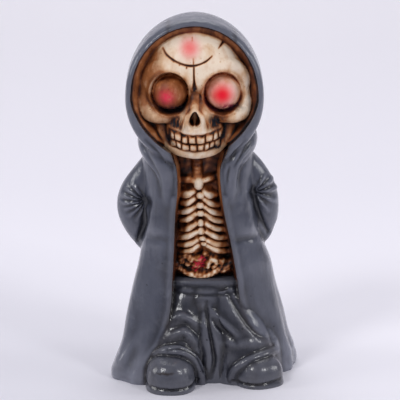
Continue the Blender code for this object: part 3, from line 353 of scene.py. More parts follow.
# %% Places on the ribcage
LAPELS = (
    (84.0, -11.6, 9.6), (78.0, -11.0, 7.4), (74.0, -9.9, 5.9), (70.0, -8.8, 4.9), (63.0, -8.7, 5.4),
    (56.0, -9.4, 6.4), (45.0, -9.8, 8.7), (35.0, -10.3, 10.4), (27.0, -10.7, 11.5), (21.0, -11.7, 13.6),
    (16.5, -13.0, 16.8), (12.0, -15.4, 21.2), (8.0, -18.1, 24.2), (4.0, -19.4, 25.0), (-4.0, -19.6, 25.4),
)
LAPEL_CURVE = through(LAPELS, 8)[::-1]
# Each pair of ribs: height at the breastbone, then x and z of the left end and of the right end
RIBS = (
    (62.6, -7.7, 61.6, 3.3, 61.3), (60.1, -7.4, 58.4, 4.3, 57.8), (57.5, -8.2, 55.4, 5.5, 54.9),
    (55.0, -7.7, 52.6, 6.2, 52.2), (51.9, -7.2, 49.7, 6.5, 49.6), (49.1, -8.4, 46.8, 6.6, 46.8),
    (46.3, -8.0, 44.4, 7.1, 44.6), (44.4, -7.2, 42.1, 7.6, 42.3),
)
BREASTBONE = ((-1.9, 65.3, 1.6, 2.2), (-1.35, 61.3, 1.3, 1.2), (-1.45, 58.0, 1.4, 1.05), (-1.3, 55.3, 1.25, 1.05),
              (-1.25, 52.0, 1.05, 1.25), (-1.05, 49.3, 1.25, 1.25), (-0.55, 46.9, 1.2, 0.85), (-0.25, 45.1, 0.9, 0.8))
THROAT = ((-3.0, 84.0, 4.6, 1.9), (-2.6, 75.0, 5.2, 1.75), (-2.2, 67.0, 6.2, 1.6))
COLLARBONES = (
    ((-3.4, 66.2, 7.2, 0.9), (-5.6, 66.4, 6.9, 1.2), (-7.6, 66.2, 6.0, 1.3)),
    ((-0.8, 66.2, 7.2, 0.8), (1.6, 66.8, 7.2, 0.85), (4.0, 67.8, 6.2, 0.8)),
)
PELVIS = (
    ((-8.8, 37.6, 6.0, 1.0), (-7.2, 36.0, 7.0, 0.8), (-4.4, 34.8, 7.7, 0.8), (-0.6, 34.3, 7.9, 0.75),
     (2.6, 35.2, 7.7, 0.85), (5.0, 36.9, 7.0, 0.8), (7.2, 38.4, 6.0, 1.0)),
    ((5.4, 35.6, 6.6, 0.8), (7.4, 36.6, 6.6, 1.1), (8.6, 38.6, 6.0, 0.9)),
    ((1.2, 37.2, 7.6, 0.6), (1.5, 38.9, 7.9, 0.7), (3.0, 39.7, 7.9, 0.7), (4.0, 38.5, 7.7, 0.6), (2.8, 37.1, 7.6, 0.6)),
    ((-7.9, 40.4, 6.4, 0.6), (-5.6, 40.9, 7.0, 0.8), (-4.4, 39.6, 7.4, 0.8)),
)
KNOBS = (((-7.5, -6.0, 39.2), (1.2, 2.0, 1.2)), ((-5.5, -6.2, 38.0), (1.0, 1.9, 1.0)),
         ((5.7, -6.0, 38.9), (1.35, 2.3, 1.4)), ((-1.9, -5.6, 39.7), (1.9, 2.6, 1.5)),
         ((-2.6, -5.8, 37.6), (1.7, 2.1, 1.2)), ((0.4, -5.8, 41.4), (1.5, 2.0, 1.0)))
print(len(RIBS), "pairs of ribs,", len(BREASTBONE), "beads")


# %% Carve the ribcage
def lapel_edges(z):
    """x of the left and of the right edge of the opening at each height."""
    return [np.interp(z, LAPEL_CURVE[:, 0], LAPEL_CURVE[:, i]) for i in (1, 2)]


def lapel_gap(x, z):
    """Distance inwards from the nearer lapel edge, negative under the cloth."""
    left, right = lapel_edges(z)
    return np.minimum(x - left, right - x)


def rib_rows():
    """The ribs one by one: x, z, relief and radius at the breastbone, halfway and at the end."""
    for i, (height, left_x, left_z, right_x, right_z) in enumerate(RIBS):
        middle, thick = -1.9 + 0.19 * i, 1.15 if i == 0 else 0.88
        for inner, outer, low_end in ((middle - 1.7, left_x, left_z), (middle + 1.7, right_x, right_z)):
            yield (
                (inner, height, 7.7, 0.6),
                ((inner + outer) / 2, (height + low_end) / 2 - 0.45, 7.7, thick),
                (outer, low_end, 6.1, thick * 0.95),
            )


def chest_bones(x, z):
    """Floor, ribs, breastbone, throat, collarbones and pelvis."""
    chest = 4.2 + 1.4 * (1 - ((x + 1.2) / 9) ** 2)
    chest = chest - 1.0 * hill(x, z, -1.0, 42.4, 5.0, 1.3)
    for rows in rib_rows():
        chest = smooth_max(chest, bar(x, z, rows), 0.25)
    for centre_x, centre_z, wide, tall in BREASTBONE:
        chest = smooth_max(chest, dome(x, z, (centre_x, -7.2, centre_z), (wide, 1.9, tall)), 0.25)
    for rows in (THROAT, *COLLARBONES, *PELVIS):
        chest = smooth_max(chest, bar(x, z, rows), 0.3)
    for knob in KNOBS:
        chest = smooth_max(chest, dome(x, z, *knob), 0.3)
    return chest + 0.22 * np.cos(2 * np.pi * z / 1.5) * hill(x, z, -2.3, 70.5, 1.6, 2.6)


def chest_relief(x, z):
    """The bones and the strip of lining that rises to each lapel."""
    rise = 6.2 * np.clip((77 - z) / 6, 0, 1)
    return smooth_max(chest_bones(x, z), 4.4 + rise * np.clip(1 - lapel_gap(x, z) / 1.2, 0, 1) ** 1.4, 0.3)


def relief_panel(name, relief, heights, left, right, columns, back_y):
    """A solid whose front is a relief over level rows that run from left to right, with a flat back."""
    share = np.linspace(0, 1, columns)
    x = left[:, None] + (right - left)[:, None] * share
    z = np.repeat(heights[:, None], columns, axis=1)
    front = np.stack([x, -relief(x, z), z], axis=-1)
    # Steep walls are relaxed, because a regular grid samples them in steps
    slope = np.hypot(*np.gradient(front[..., 1])) / (heights[1] - heights[0])
    loose = 0.6 * np.clip((slope[1:-1, 1:-1, None] - 1.0) / 1.5, 0, 1)
    for _ in range(14):
        middle = (front[:-2, 1:-1] + front[2:, 1:-1] + front[1:-1, :-2] + front[1:-1, 2:]) / 4
        front[1:-1, 1:-1] += loose * (middle - front[1:-1, 1:-1])
    corners = np.stack([front[:, -1], front[:, 0]], axis=1)
    corners[..., 1] = back_y
    return solid(name, np.concatenate([front, corners], axis=1))


FACE_ROWS, FACE_COLUMNS, FACE_TUCK = 216, 186, 0.8
CHEST_ROWS, CHEST_COLUMNS, CHEST_TUCK = 206, 72, 1.0
CHEST_LOW, CHEST_HIGH = 27.0, 77.5
BACK_Y = 3.0

# Each relief runs on a little behind the cloth that frames it
share = np.linspace(-0.995, 0.995, FACE_ROWS)
rows_z = HOOD_Z + share * np.where(share > 0, OPENING_RISE + FACE_TUCK, OPENING_DROP)
wide = (OPENING_HALF_WIDTH + FACE_TUCK) * np.sqrt(1 - share**2)
face = relief_panel("face", face_relief, rows_z, HOOD_X - wide, HOOD_X + wide, FACE_COLUMNS, BACK_Y)
rows_z = np.linspace(CHEST_LOW, CHEST_HIGH, CHEST_ROWS)
left, right = lapel_edges(rows_z)
chest = relief_panel("chest", chest_relief, rows_z, left - CHEST_TUCK, right + CHEST_TUCK, CHEST_COLUMNS, BACK_Y)
print("face", len(face.data.polygons), "chest", len(chest.data.polygons), "faces")

# %% [markdown]
# The coat is a stack of level rings. Each ring is a flattened ellipse with its own depth in front and
# behind, and lower down the rings turn a little, because the left flap swings forward and the right
# one back. Folds are bells that ride on the ring at a bearing and fade out above.

# %% Hood and coat
COAT = (
    (84.0, -3.0, 13.0, 8.0, 13.5, 0.0), (79.0, -2.5, 16.4, 10.6, 15.5, 0.0), (73.0, -2.2, 17.8, 12.4, 16.0, 0.0),
    (66.0, -2.0, 17.8, 13.0, 15.5, 0.0), (56.0, -1.5, 18.0, 13.2, 15.0, 0.0), (46.0, -0.9, 19.4, 13.0, 15.0, 0.02),
    (38.0, 0.1, 21.6, 13.2, 15.5, 0.05), (30.0, 0.0, 23.5, 13.4, 16.0, 0.09), (20.0, 0.3, 26.0, 13.8, 16.8, 0.14),
    (12.0, 0.4, 27.5, 14.2, 17.4, 0.18), (6.0, 0.4, 29.6, 14.8, 18.0, 0.21), (2.0, 0.2, 31.0, 15.2, 18.4, 0.22),
    (-2.0, 0.2, 30.2, 15.0, 18.2, 0.22),
)
COAT_CURVE = through(COAT, 10)
# Bearing from the front and width in degrees, rise, height where the fold starts, height of its full rise
SKIRT_FOLDS = (
    (-44, 7, 0.9, 30, 6), (-62, 11, -1.1, 36, 8), (60, 9, 1.1, 34, 4), (80, 9, -0.9, 36, 8),
    (122, 13, 1.4, 44, -4), (147, 11, -1.3, 46, -4), (173, 13, 1.5, 50, -4), (-161, 11, -1.3, 46, -4),
    (-136, 13, 1.4, 44, -4), (-112, 11, -1.1, 40, -4),
)


def ring_at(height):
    """Centre, half width, front depth, back depth and sweep of the coat at each height."""
    flipped = COAT_CURVE[::-1]
    return [np.interp(height, flipped[:, 0], flipped[:, i]) for i in range(1, 6)]


def coat_rings(heights, around):
    """Rings of the coat: signed powers of sine and cosine, lifted by the folds at each bearing."""
    centre, half_width, front, back, sweep = (v[:, None] for v in ring_at(heights))
    turn = np.linspace(0, 2 * np.pi, around, endpoint=False)[None]
    across, away = np.sin(turn), -np.cos(turn)
    bearing = np.degrees(np.arctan2(across, -away))
    height = heights[:, None]
    lift = np.zeros((len(heights), around))
    for middle, width, rise, top, bottom in SKIRT_FOLDS:
        off = (bearing - middle + 180) % 360 - 180
        lift += rise * np.clip((top - height) / (top - bottom), 0, 1) * np.exp(-((off / width) ** 2))
    # Each front panel is full above a soft dent where the pocketed hands pull it in
    full = np.clip((66 - height) / 15, 0, 1) ** 2 * np.clip((height - 46.5) / 3.0, 0, 1)
    lift += 1.1 * full * (np.exp(-(((bearing - 50) / 16) ** 2)) + 0.8 * np.exp(-(((bearing + 46) / 15) ** 2)))
    swell = 1 + lift / half_width
    x = half_width * np.sign(across) * np.abs(across) ** 0.92 * swell
    y = np.where(away < 0, front, back) * np.sign(away) * np.abs(away) ** 0.86 * swell
    return np.stack([centre + x, y + sweep * x, height + 0 * x], axis=-1)


def coat_front(x, z):
    """The coat's front surface at x and z, without its folds: the ring's formula solved for y."""
    centre, half_width, front, _, sweep = ring_at(z)
    across = np.clip(np.abs(x - centre) / half_width, 0, 0.999) ** (1 / 0.92)
    return -front * np.sqrt(1 - across**2) ** 0.86 + sweep * (x - centre)


def hood_rings(steps, around):
    """Superelliptic rings from the rim to the back; the crown's share shrinks as a rounded cap."""
    rim_y, back_y = -13.6, 17.5
    along = (1 - np.cos(np.linspace(0, np.pi, steps))) / 2
    front = np.minimum(1.0, (back_y - rim_y) * along / 2.6)
    crown = np.clip((along - 0.30) / 0.70, 0, 1)
    size = (0.93 + 0.07 * np.sqrt(1 - (1 - front) ** 2)) * np.sqrt(np.clip(1 - crown**2.5, 4e-4, 1))
    turn = np.linspace(0, 2 * np.pi, around, endpoint=False)
    across = np.sign(np.cos(turn)) * np.abs(np.cos(turn)) ** 1.05
    up = np.sin(turn)
    up = np.where(up > 0, HOOD_RISE * np.abs(up) ** 0.91, HOOD_DROP * up)
    up = up[None] * (1 - 0.04 * np.maximum(0, 1 - along / 0.45) ** 2)[:, None]
    lean = 3.4 * (1 - along)[:, None] * np.maximum(0, up / HOOD_RISE) ** 2
    y = rim_y + (back_y - rim_y) * along[:, None] + lean
    x = HOOD_X + HOOD_HALF_WIDTH * across[None] * size[:, None]
    return np.stack([x, y, HOOD_Z + up * size[:, None]], axis=-1)


coat = solid("coat", coat_rings(np.linspace(83.5, -1.9, 190), 300))
hood = solid("hood", hood_rings(72, 220))
print("coat", len(coat.data.vertices), "hood", len(hood.data.vertices), "points")

# %% [markdown]
# Sleeves are bars that bulge at the elbow and run back into the pockets, and the hood leaves a cowl
# of two rolls on each side of the throat. Trousers, their folds and the turned-up hems are bars too;
# the shoes are superellipsoids, ball shapes with squarer shoulders, each on a slightly wider sole.

# %% Sleeves, cowl, trousers and shoes
SLEEVES = (
    ((-13.6, 1.0, 72.0, 5.2), (-17.8, 1.5, 66.5, 5.4), (-21.8, 2.5, 59.8, 5.9), (-23.0, 3.5, 54.5, 5.7),
     (-21.6, 4.0, 48.5, 4.9), (-20.2, 4.4, 43.5, 3.1), (-18.9, 5.2, 40.0, 1.7)),
    ((10.4, 1.0, 72.0, 5.3), (14.9, 1.5, 66.5, 5.6), (17.7, 2.2, 60.5, 5.9), (18.6, 3.2, 55.0, 5.8),
     (18.6, 4.0, 50.0, 5.2), (18.9, 4.6, 46.5, 3.7), (18.6, 5.2, 43.2, 2.2)),
)
COWL = (
    ((-1.0, 12.4, 79.4, 2.6), (-11.6, 10.4, 79.4, 3.6), (-16.8, 4.0, 79.0, 4.2), (-17.5, -3.0, 77.4, 4.0),
     (-15.3, -8.4, 74.6, 3.9), (-12.8, -10.0, 70.4, 3.3), (-11.8, -10.2, 64.0, 2.3), (-11.4, -9.9, 56.0, 1.2)),
    ((-5.0, 12.4, 79.4, 2.6), (7.2, 10.4, 79.7, 3.6), (12.4, 4.0, 79.6, 4.2), (12.9, -3.0, 78.2, 4.0),
     (10.8, -8.4, 75.6, 3.8), (8.7, -10.2, 71.4, 3.1), (8.0, -10.4, 65.0, 2.2), (8.2, -9.9, 57.0, 1.2)),
)
LEGS = (
    ((-4.6, -3.0, 28.0, 7.6), (-6.2, -5.4, 22.0, 8.0), (-7.9, -8.4, 15.5, 8.4), (-8.3, -10.4, 9.0, 8.6),
     (-8.2, -10.6, -4.0, 8.6)),
    ((5.4, -3.0, 28.0, 7.8), (8.2, -4.8, 21.0, 8.6), (11.2, -5.8, 14.0, 9.6), (12.4, -6.2, 7.0, 10.8),
     (12.0, -6.6, -4.0, 11.4)),
    ((1.6, -4.0, 26.0, 6.5), (1.8, -8.3, 16.0, 6.8), (2.4, -8.6, 8.0, 7.0), (2.6, -8.2, -4.0, 7.2)),
    ((-9.4, -2.0, 24.0, 5.2), (-12.4, -4.8, 12.0, 7.2), (-14.2, -7.6, -4.0, 8.0)),
    ((12.0, -2.0, 20.0, 6.4), (16.2, -2.6, 10.0, 8.4), (17.4, -3.0, -4.0, 8.8)),
)
HEMS = (
    ((-18.4, -11.4, 6.0, 1.3), (-13.8, -17.0, 11.2, 1.8), (-8.5, -18.8, 12.4, 2.0), (-4.2, -17.9, 9.8, 1.9),
     (-1.6, -16.4, 4.6, 1.7), (-0.8, -15.2, -2.0, 1.5)),
    ((8.2, -15.0, -1.0, 1.4), (9.8, -16.4, 4.6, 1.7), (14.0, -17.0, 8.0, 1.8), (19.4, -14.0, 9.4, 1.7),
     (23.6, -8.2, 9.2, 1.4)),
)
SHOES = (
    ((-10.9, -16.8, 3.0), (8.0, 10.2, 8.2), -4.0), ((-10.9, -16.8, 0.6), (8.2, 10.5, 3.0), -4.0),
    ((16.8, -11.8, 2.6), (8.0, 9.4, 7.0), 28.0), ((16.8, -11.8, 0.4), (8.2, 9.7, 2.6), 28.0),
)


def superellipsoid(name, centre, half, turn=0.0, power=0.8):
    """A ball whose unit coordinates are raised to a power, then stretched, turned and moved."""
    levels, around = 60, 96
    tilt = np.linspace(-np.pi / 2 + 0.02, np.pi / 2 - 0.02, levels)[:, None]
    spin = np.linspace(0, 2 * np.pi, around, endpoint=False)[None]
    unit = np.stack([np.cos(tilt) * np.cos(spin), np.cos(tilt) * np.sin(spin), np.sin(tilt) + 0 * spin], axis=-1)
    ball = np.sign(unit) * np.abs(unit) ** power * np.array(half)
    angle = np.radians(turn)
    turned = np.array([[np.cos(angle), np.sin(angle), 0], [-np.sin(angle), np.cos(angle), 0], [0, 0, 1]])
    return solid(name, ball @ turned + np.array(centre))


def lapel_bead(name, side):
    """A thin bar along one edge of the opening, most of it sunk in the coat's front."""
    z = np.linspace(62, -1, 26)
    x = lapel_edges(z)[1 if side > 0 else 0] + side * 0.9
    rows = np.stack([x, coat_front(x, z) + 0.5, z, np.full(len(z), 1.05)], axis=-1)
    return limb(name, rows, 20)


cloth_parts = [hood, coat]
cloth_parts += [limb("sleeve", rows, 56) for rows in SLEEVES]
cloth_parts += [limb("cowl", rows, 32) for rows in COWL]
cloth_parts += [lapel_bead("lapel_bead", side) for side in (-1, 1)]
lower_parts = [limb("leg", rows, 56) for rows in LEGS] + [limb("hem", rows, 28) for rows in HEMS]
lower_parts += [superellipsoid("shoe", *form) for form in SHOES]
lower_parts += [
    superellipsoid("hips", (0.4, -0.6, 25.0), (15.0, 11.4, 10.4), power=1.0),
    superellipsoid("waistband", (0.2, -1.2, 31.3), (12.8, 8.5, 2.8), power=0.55),
    superellipsoid("filling", (2.2, -2.0, 4.0), (22.0, 10.0, 15.0)),
]
print(len(cloth_parts), "upper and", len(lower_parts), "lower parts")

# %% [markdown]
# Resin is poured into one mould, so the parts have to become one skin. A voxel remesh does for meshes
# what pressing clay together does: overlaps vanish and joints get a small fillet. The face and the
# ribs are finer than a voxel, so they join afterwards by a Boolean union, which leaves them crisp.

# %% Fuse the cloth and cut its openings
COAT_VOXEL, VOXEL = 0.45, 0.34
CUT_FRONT, HOOD_CUT_BACK, SLOT_CUT_BACK = -40, -3, -2
CLOTH_TRIANGLES = 100000


def with_modifiers_applied(obj):
    """Bakes the modifiers of an object into its own mesh."""
    graph = bpy.context.evaluated_depsgraph_get()
    mesh = bpy.data.meshes.new_from_object(obj.evaluated_get(graph))
    obj.modifiers.clear()
    obj.data = mesh
    return obj


def read_all(items, key, width, kind=float):
    """One property of all the items, as an array with a row for each."""
    values = np.empty(len(items) * width, kind)
    items.foreach_get(key, values)
    return values.reshape(-1, width)


def joined(name, parts):
    """One object of several meshes, laid into one mesh side by side."""
    points, faces, offset = [], [], 0
    for part in parts:
        mesh = part.data
        points.append(read_all(mesh.vertices, "co", 3))
        faces += [[v + offset for v in p.vertices] for p in mesh.polygons]
        offset += len(mesh.vertices)
        bpy.data.objects.remove(part)
    return meshed(name, np.concatenate(points), faces)


def fused(obj, voxel, passes):
    """One skin round all that overlaps, then a few rounds of averaging to take off the voxel steps."""
    remesh = obj.modifiers.new("Fuse", "REMESH")
    remesh.mode = "VOXEL"
    remesh.voxel_size = voxel * MM
    smooth = obj.modifiers.new("Smooth", "SMOOTH")
    smooth.factor = 0.5
    smooth.iterations = passes
    return with_modifiers_applied(obj)


def combined(obj, others, operation):
    """Boolean with the fast solver for closed meshes; each face keeps the material of its parent."""
    for other in others:
        boolean = obj.modifiers.new("Boolean", "BOOLEAN")
        boolean.operation = operation
        boolean.solver = "MANIFOLD"
        boolean.material_mode = "TRANSFER"
        boolean.object = other
    with_modifiers_applied(obj)
    for other in others:
        bpy.data.objects.remove(other)
    return obj


def prism(name, outline, front_y, back_y):
    """A cutter: an outline of x and z carried from front to back."""
    ends = [np.column_stack([outline[:, 0], np.full(len(outline), y), outline[:, 1]]) for y in (front_y, back_y)]
    return solid(name, np.stack(ends))


def opening_outline(count):
    """The points where opening_radius is 1, from the superellipse's own two powers."""
    turn = np.linspace(0, 2 * np.pi, count, endpoint=False)
    across, up = np.cos(turn), np.sin(turn)
    wide = np.abs(across) ** np.where(up > 0, 2 / 1.95, 2 / 1.6)
    tall = np.where(up > 0, OPENING_RISE * np.abs(up) ** (2 / 2.25), -OPENING_DROP * np.abs(up) ** (2 / 1.6))
    return np.column_stack([HOOD_X + OPENING_HALF_WIDTH * np.sign(across) * wide, HOOD_Z + tall])


face_outline = opening_outline(200)
slot_outline = np.concatenate([LAPEL_CURVE[:, [1, 0]], LAPEL_CURVE[::-1][:, [2, 0]]])
cloth = fused(joined("cloth", cloth_parts), COAT_VOXEL, 8)
cutters = [prism("face_cut", face_outline, CUT_FRONT, HOOD_CUT_BACK),
           prism("slot", slot_outline, CUT_FRONT, SLOT_CUT_BACK)]
cloth = combined(cloth, cutters, "DIFFERENCE")
cloth = fused(joined("cloth", [cloth, *lower_parts]), VOXEL, 3)
print("fused cloth", len(cloth.data.vertices), "points")

# %% [markdown]
# Gathers and grooves are worked into the fused skin as a displacement: each point moves along its own
# normal by a height that depends on where it is. A groove is a path in the front view; it only acts
# on points that face the front, so it doesn't print through to the back.


# %% Work the surface of the cloth
def mesh_arrays(obj):
    """Points in millimetres and unit normals of an object's mesh."""
    return read_all(obj.data.vertices, "co", 3) / MM, read_all(obj.data.vertices, "normal", 3)


GATHER_GAIN = 1.7
# Crook of each elbow, then bearing of each gather in degrees, its rise and its length
CROOKS = (
    ((-19.2, 58.6), ((127, 0.55, 7.0), (150, 0.65, 8.0), (171, 0.7, 8.5), (190, 0.7, 8.5), (208, 0.6, 8.5),
                     (228, 0.55, 9.0), (250, 0.5, 9.0))),
    ((16.2, 61.6), ((57, 0.6, 7.0), (30, 0.7, 8.0), (2, 0.75, 8.5), (-29, 0.65, 9.0), (-58, 0.55, 9.5))),
)
# Creases in the cloth as x, z, depth and half width along each; a negative depth is a ridge
CREASES = (
    # Fine creases of the cowl
    ((9.4, 72.4, 0.1, 0.5), (12.0, 76.0, 0.8, 0.7), (15.0, 79.8, 0.1, 0.6)),
    ((7.6, 73.6, 0.1, 0.5), (10.2, 77.4, 0.8, 0.7), (13.2, 81.2, 0.2, 0.6)),
    ((8.2, 73.0, 0.1, 0.5), (7.4, 69.8, 0.6, 0.6), (7.2, 65.4, 0.1, 0.6)),
    ((-18.8, 81.0, 0.2, 0.6), (-15.5, 77.6, 0.7, 0.8), (-12.9, 74.4, 0.1, 0.6)),
    ((-19.6, 77.6, 0.3, 0.8), (-17.0, 73.0, 0.8, 1.0), (-14.6, 68.0, 0.5, 0.9), (-14.0, 62.0, 0.1, 0.9)),
    ((15.4, 76.6, 0.3, 0.8), (12.6, 73.4, 0.7, 0.9), (11.4, 68.6, 0.4, 0.9), (11.6, 63.0, 0.1, 0.9)),
    # Where a sleeve leaves the coat's side
    ((-18.2, 60.0, 0.2, 0.6), (-18.9, 54.0, 1.1, 0.7), (-20.5, 48.4, 1.3, 0.8), (-22.2, 43.4, 0.9, 0.8)),
    ((15.8, 63.6, 0.2, 0.6), (16.9, 57.0, 1.1, 0.7), (19.0, 51.0, 1.2, 0.8), (21.0, 46.6, 0.9, 0.8)),
    # The dent that the pocketed hands pull into each front panel
    ((-19.0, 46.6, 0.2, 1.4), (-15.4, 47.6, 0.5, 1.5), (-11.6, 47.8, 0.1, 1.3)),
    ((9.6, 47.4, 0.2, 1.4), (13.8, 47.4, 0.6, 1.5), (18.6, 47.0, 0.2, 1.4)),
    # Hem corners that kick out
    ((-19.6, 19.0, -0.1, 1.6), (-23.6, 12.0, -0.7, 1.8), (-27.6, 5.6, -0.9, 1.8)),
    ((22.2, 24.0, -0.1, 1.6), (25.8, 14.0, -0.7, 1.8), (28.6, 6.4, -0.9, 1.8)),
    # Trousers: knee folds, the seam between the legs and the folds that run down from it
    ((-10.6, 21.8, -0.1, 0.9), (-6.6, 22.6, -0.9, 1.1), (-1.6, 19.4, -0.2, 0.9)),
    ((-10.4, 19.0, 0.2, 0.8), (-6.0, 20.2, 0.8, 0.9), (-2.0, 16.6, 0.2, 0.8)),
    ((-11.4, 16.6, -0.2, 0.9), (-6.6, 18.0, -0.9, 1.1), (-2.6, 14.2, -0.2, 0.9)),
    ((-11.6, 14.4, 0.2, 0.8), (-7.0, 15.4, 0.6, 0.9), (-3.4, 12.4, 0.2, 0.8)),
    ((0.6, 26.4, 0.2, 0.7), (0.8, 22.0, 1.0, 0.8), (2.2, 15.0, 1.3, 0.9), (3.2, 8.0, 1.2, 0.9), (2.0, 2.5, 0.2, 0.9)),
    ((1.6, 25.0, -0.2, 0.9), (6.0, 20.6, -0.9, 1.1), (11.4, 16.2, -0.2, 1.0)),
    ((1.6, 22.4, 0.2, 0.8), (5.6, 18.2, 0.8, 0.9), (10.4, 14.2, 0.2, 0.8)),
    ((6.6, 31.0, 0.1, 0.8), (11.0, 24.0, 0.8, 0.9), (16.4, 17.0, 0.7, 0.9), (22.6, 12.4, 0.2, 0.9)),
    ((5.0, 13.6, -0.1, 1.2), (9.4, 13.8, -0.35, 1.4), (15.6, 13.8, -0.3, 1.4), (20.4, 12.6, -0.1, 1.2)),
    ((-9.6, 29.4, 0.15, 0.6), (0.2, 28.8, 0.3, 0.6), (10.4, 29.2, 0.15, 0.6)),
    # Soles and the hem's second fold
    ((-19.0, 2.4, 0.3, 0.35), (-10.6, 1.9, 0.4, 0.35), (-2.0, 2.4, 0.3, 0.35)),
    ((9.0, 1.8, 0.3, 0.35), (16.8, 1.6, 0.4, 0.35), (24.6, 2.6, 0.3, 0.35)),
    ((-12.0, 12.8, 0.2, 0.5), (-7.4, 13.6, 0.6, 0.5), (-2.6, 10.6, 0.5, 0.5), (-0.2, 4.6, 0.3, 0.5)),
)


def gathers(points):
    """Ridges that fan out from a crook: cosine bells in bearing, rising and fading with distance."""
    x, z = points[:, 0], points[:, 2]
    total = np.zeros(len(points))
    for (crook_x, crook_z), ridges in CROOKS:
        out = np.hypot(x - crook_x, z - crook_z)
        bearing = np.degrees(np.arctan2(z - crook_z, x - crook_x))
        for angle, rise, length in ridges:
            off = (bearing - angle + 180) % 360 - 180
            along = np.clip(out / length, 0, 1)
            total += GATHER_GAIN * rise * np.exp(-((off / 6.5) ** 2)) * np.sin(np.pi * along**0.7) * (out < length)
        total -= 0.8 * np.exp(-((out / 2.0) ** 2))
    return total


def work_cloth(obj):
    """Moves each point along its normal: gathers on all but the back, creases only where it faces the front."""
    points, normals = mesh_arrays(obj)
    facing = np.clip(-normals[:, 1] * 1.6 + 0.5, 0, 1)
    lift = gathers(points) * (points[:, 1] < 6) * np.clip(0.9 - normals[:, 1], 0, 1)
    front = np.flatnonzero(facing > 0)
    for rows in CREASES:
        lift[front] -= groove(points[front, 0], points[front, 2], rows) * facing[front]
    moved = (points + normals * lift[:, None]) * MM
    obj.data.vertices.foreach_set("co", moved.ravel())
    obj.data.update()


work_cloth(cloth)
print(len(CREASES), "creases,", sum(len(ridges) for _, ridges in CROOKS), "gathers")

# %% [markdown]
# The underside is cut flat, the cloth is thinned to what it needs, and the reliefs are let in.

# %% Cut the ground, thin the cloth and let in the reliefs
ground_outline = np.array([[-60, -20], [60, -20], [60, 0], [-60, 0]], float)
cloth = combined(cloth, [prism("ground", ground_outline, -60, 60)], "DIFFERENCE")
thin = cloth.modifiers.new("Thin", "DECIMATE")
thin.ratio = CLOTH_TRIANGLES / sum(len(p.vertices) - 2 for p in cloth.data.polygons)
with_modifiers_applied(cloth)
print("cloth", len(cloth.data.polygons), "triangles")
CLOTH_PAINT, BONE_PAINT = (bpy.data.materials.new(name) for name in ("satin_slate_acrylic", "ivory_with_umber_wash"))
cloth.data.materials.clear()
for part, paint in ((cloth, CLOTH_PAINT), (face, BONE_PAINT), (chest, BONE_PAINT)):
    part.data.materials.append(paint)
figure = combined(cloth, [face, chest], "UNION")
figure.name = "figurine"
mesh = figure.data
print("figure", len(mesh.vertices), "points", sum(len(p.vertices) - 2 for p in mesh.polygons), "triangles")
print("materials", [m.name for m in mesh.materials])

# %% [markdown]
# Where cloth and relief meet, the cut leaves small teeth along the seam. Averaging each seam point with
# its two neighbours on the seam, a few times over, turns them into a clean line.


# %% Straighten the seams and measure the surface
SEAM_ROUNDS, BEND_ROUNDS = 8, 4


def neighbour_mean(values, edges, count):
    """Mean of each point's neighbours, and the number of them."""
    both = np.concatenate([edges, edges[:, ::-1]])
    number = np.bincount(both[:, 0], minlength=count)
    columns = values.reshape(count, -1).T
    total = np.stack([np.bincount(both[:, 0], column[both[:, 1]], minlength=count) for column in columns], -1)
    return total / np.maximum(number, 1)[:, None], number


def seam_edges(mesh):
    """The edges whose two faces have different paint."""
    paint = {}
    for polygon in mesh.polygons:
        for key in polygon.edge_keys:
            paint.setdefault(key, set()).add(polygon.material_index)
    return np.array([key for key, kinds in paint.items() if len(kinds) > 1])


seam = seam_edges(mesh)
points, normals = mesh_arrays(figure)
for _ in range(SEAM_ROUNDS):
    mean, number = neighbour_mean(points, seam, len(points))
    points = np.where((number == 2)[:, None], (points + mean) / 2, points)
mesh.vertices.foreach_set("co", (points * MM).ravel())
mesh.update()
print("seam", len(seam), "edges")

edges = read_all(mesh.edges, "vertices", 2, int)
points, normals = mesh_arrays(figure)
mean, _ = neighbour_mean(points, edges, len(points))
bend = np.einsum("ij,ij->i", mean - points, normals)
for _ in range(BEND_ROUNDS):
    bend = (bend + neighbour_mean(bend, edges, len(points))[0][:, 0]) / 2
print("bend from", round(bend.min(), 3), "to", round(bend.max(), 3), "mm")

# %% [markdown]
# The bones are painted cream and then flooded with a thin brown wash, which is wiped off what stands
# proud. The mask for it is the difference between the relief and a blurred copy of itself: positive
# where a point lies deeper than its surroundings. Two blurs are used, a fine one for gaps and cracks
# and a broad one for hollows, and each region of the skull has a tint of its own on top. The same mask
# also carries painted shade: on the eyeballs and the walls of the sockets, in a line along the hood's
# rim and on the throat under the jaw.


# %% Measures for the wash
STEP = 0.16
# Strength, centre x and z, half width and half height of each broad stain on the skull
STAINS = (
    (0.58, -18.7, 104.0, 6.2, 8.0), (0.06, 14.5, 104.0, 3.0, 8.0), (0.32, -19.5, 93.0, 4.8, 5.0),
    (0.58, -3.2, 94.4, 3.2, 2.6), (-0.20, -3.2, 91.6, 0.9, 2.4), (0.26, -3.2, 98.2, 2.4, 1.6),
    (0.34, -5.1, 91.6, 0.9, 3.0), (0.34, -1.3, 91.6, 0.9, 3.0), (0.40, -8.8, 86.8, 2.9, 2.6),
    (0.40, 3.2, 87.0, 3.0, 2.6), (0.30, -11.6, 81.8, 1.2, 2.2), (0.30, 5.8, 82.0, 1.3, 2.2),
    (0.20, -6.6, 101.4, 1.6, 1.4), (0.16, 0.6, 101.0, 1.6, 1.4),
)
EYE_BROWNS = (0.52, 0.12)
print(len(STAINS), "stains")


# %% Work out the wash and the painted shade
def blurred(field, sigma):
    """A Gaussian blur in millimetres, one product with a bell-shaped matrix for each direction."""
    def bell(count):
        """Each row weighs all cells by e to the minus half their squared distance, and adds up to 1."""
        away = (np.arange(count)[:, None] - np.arange(count)[None]) * STEP / sigma
        weight = np.exp(-0.5 * away**2)
        return weight / weight.sum(1, keepdims=True)

    return bell(field.shape[0]) @ field @ bell(field.shape[1]).T


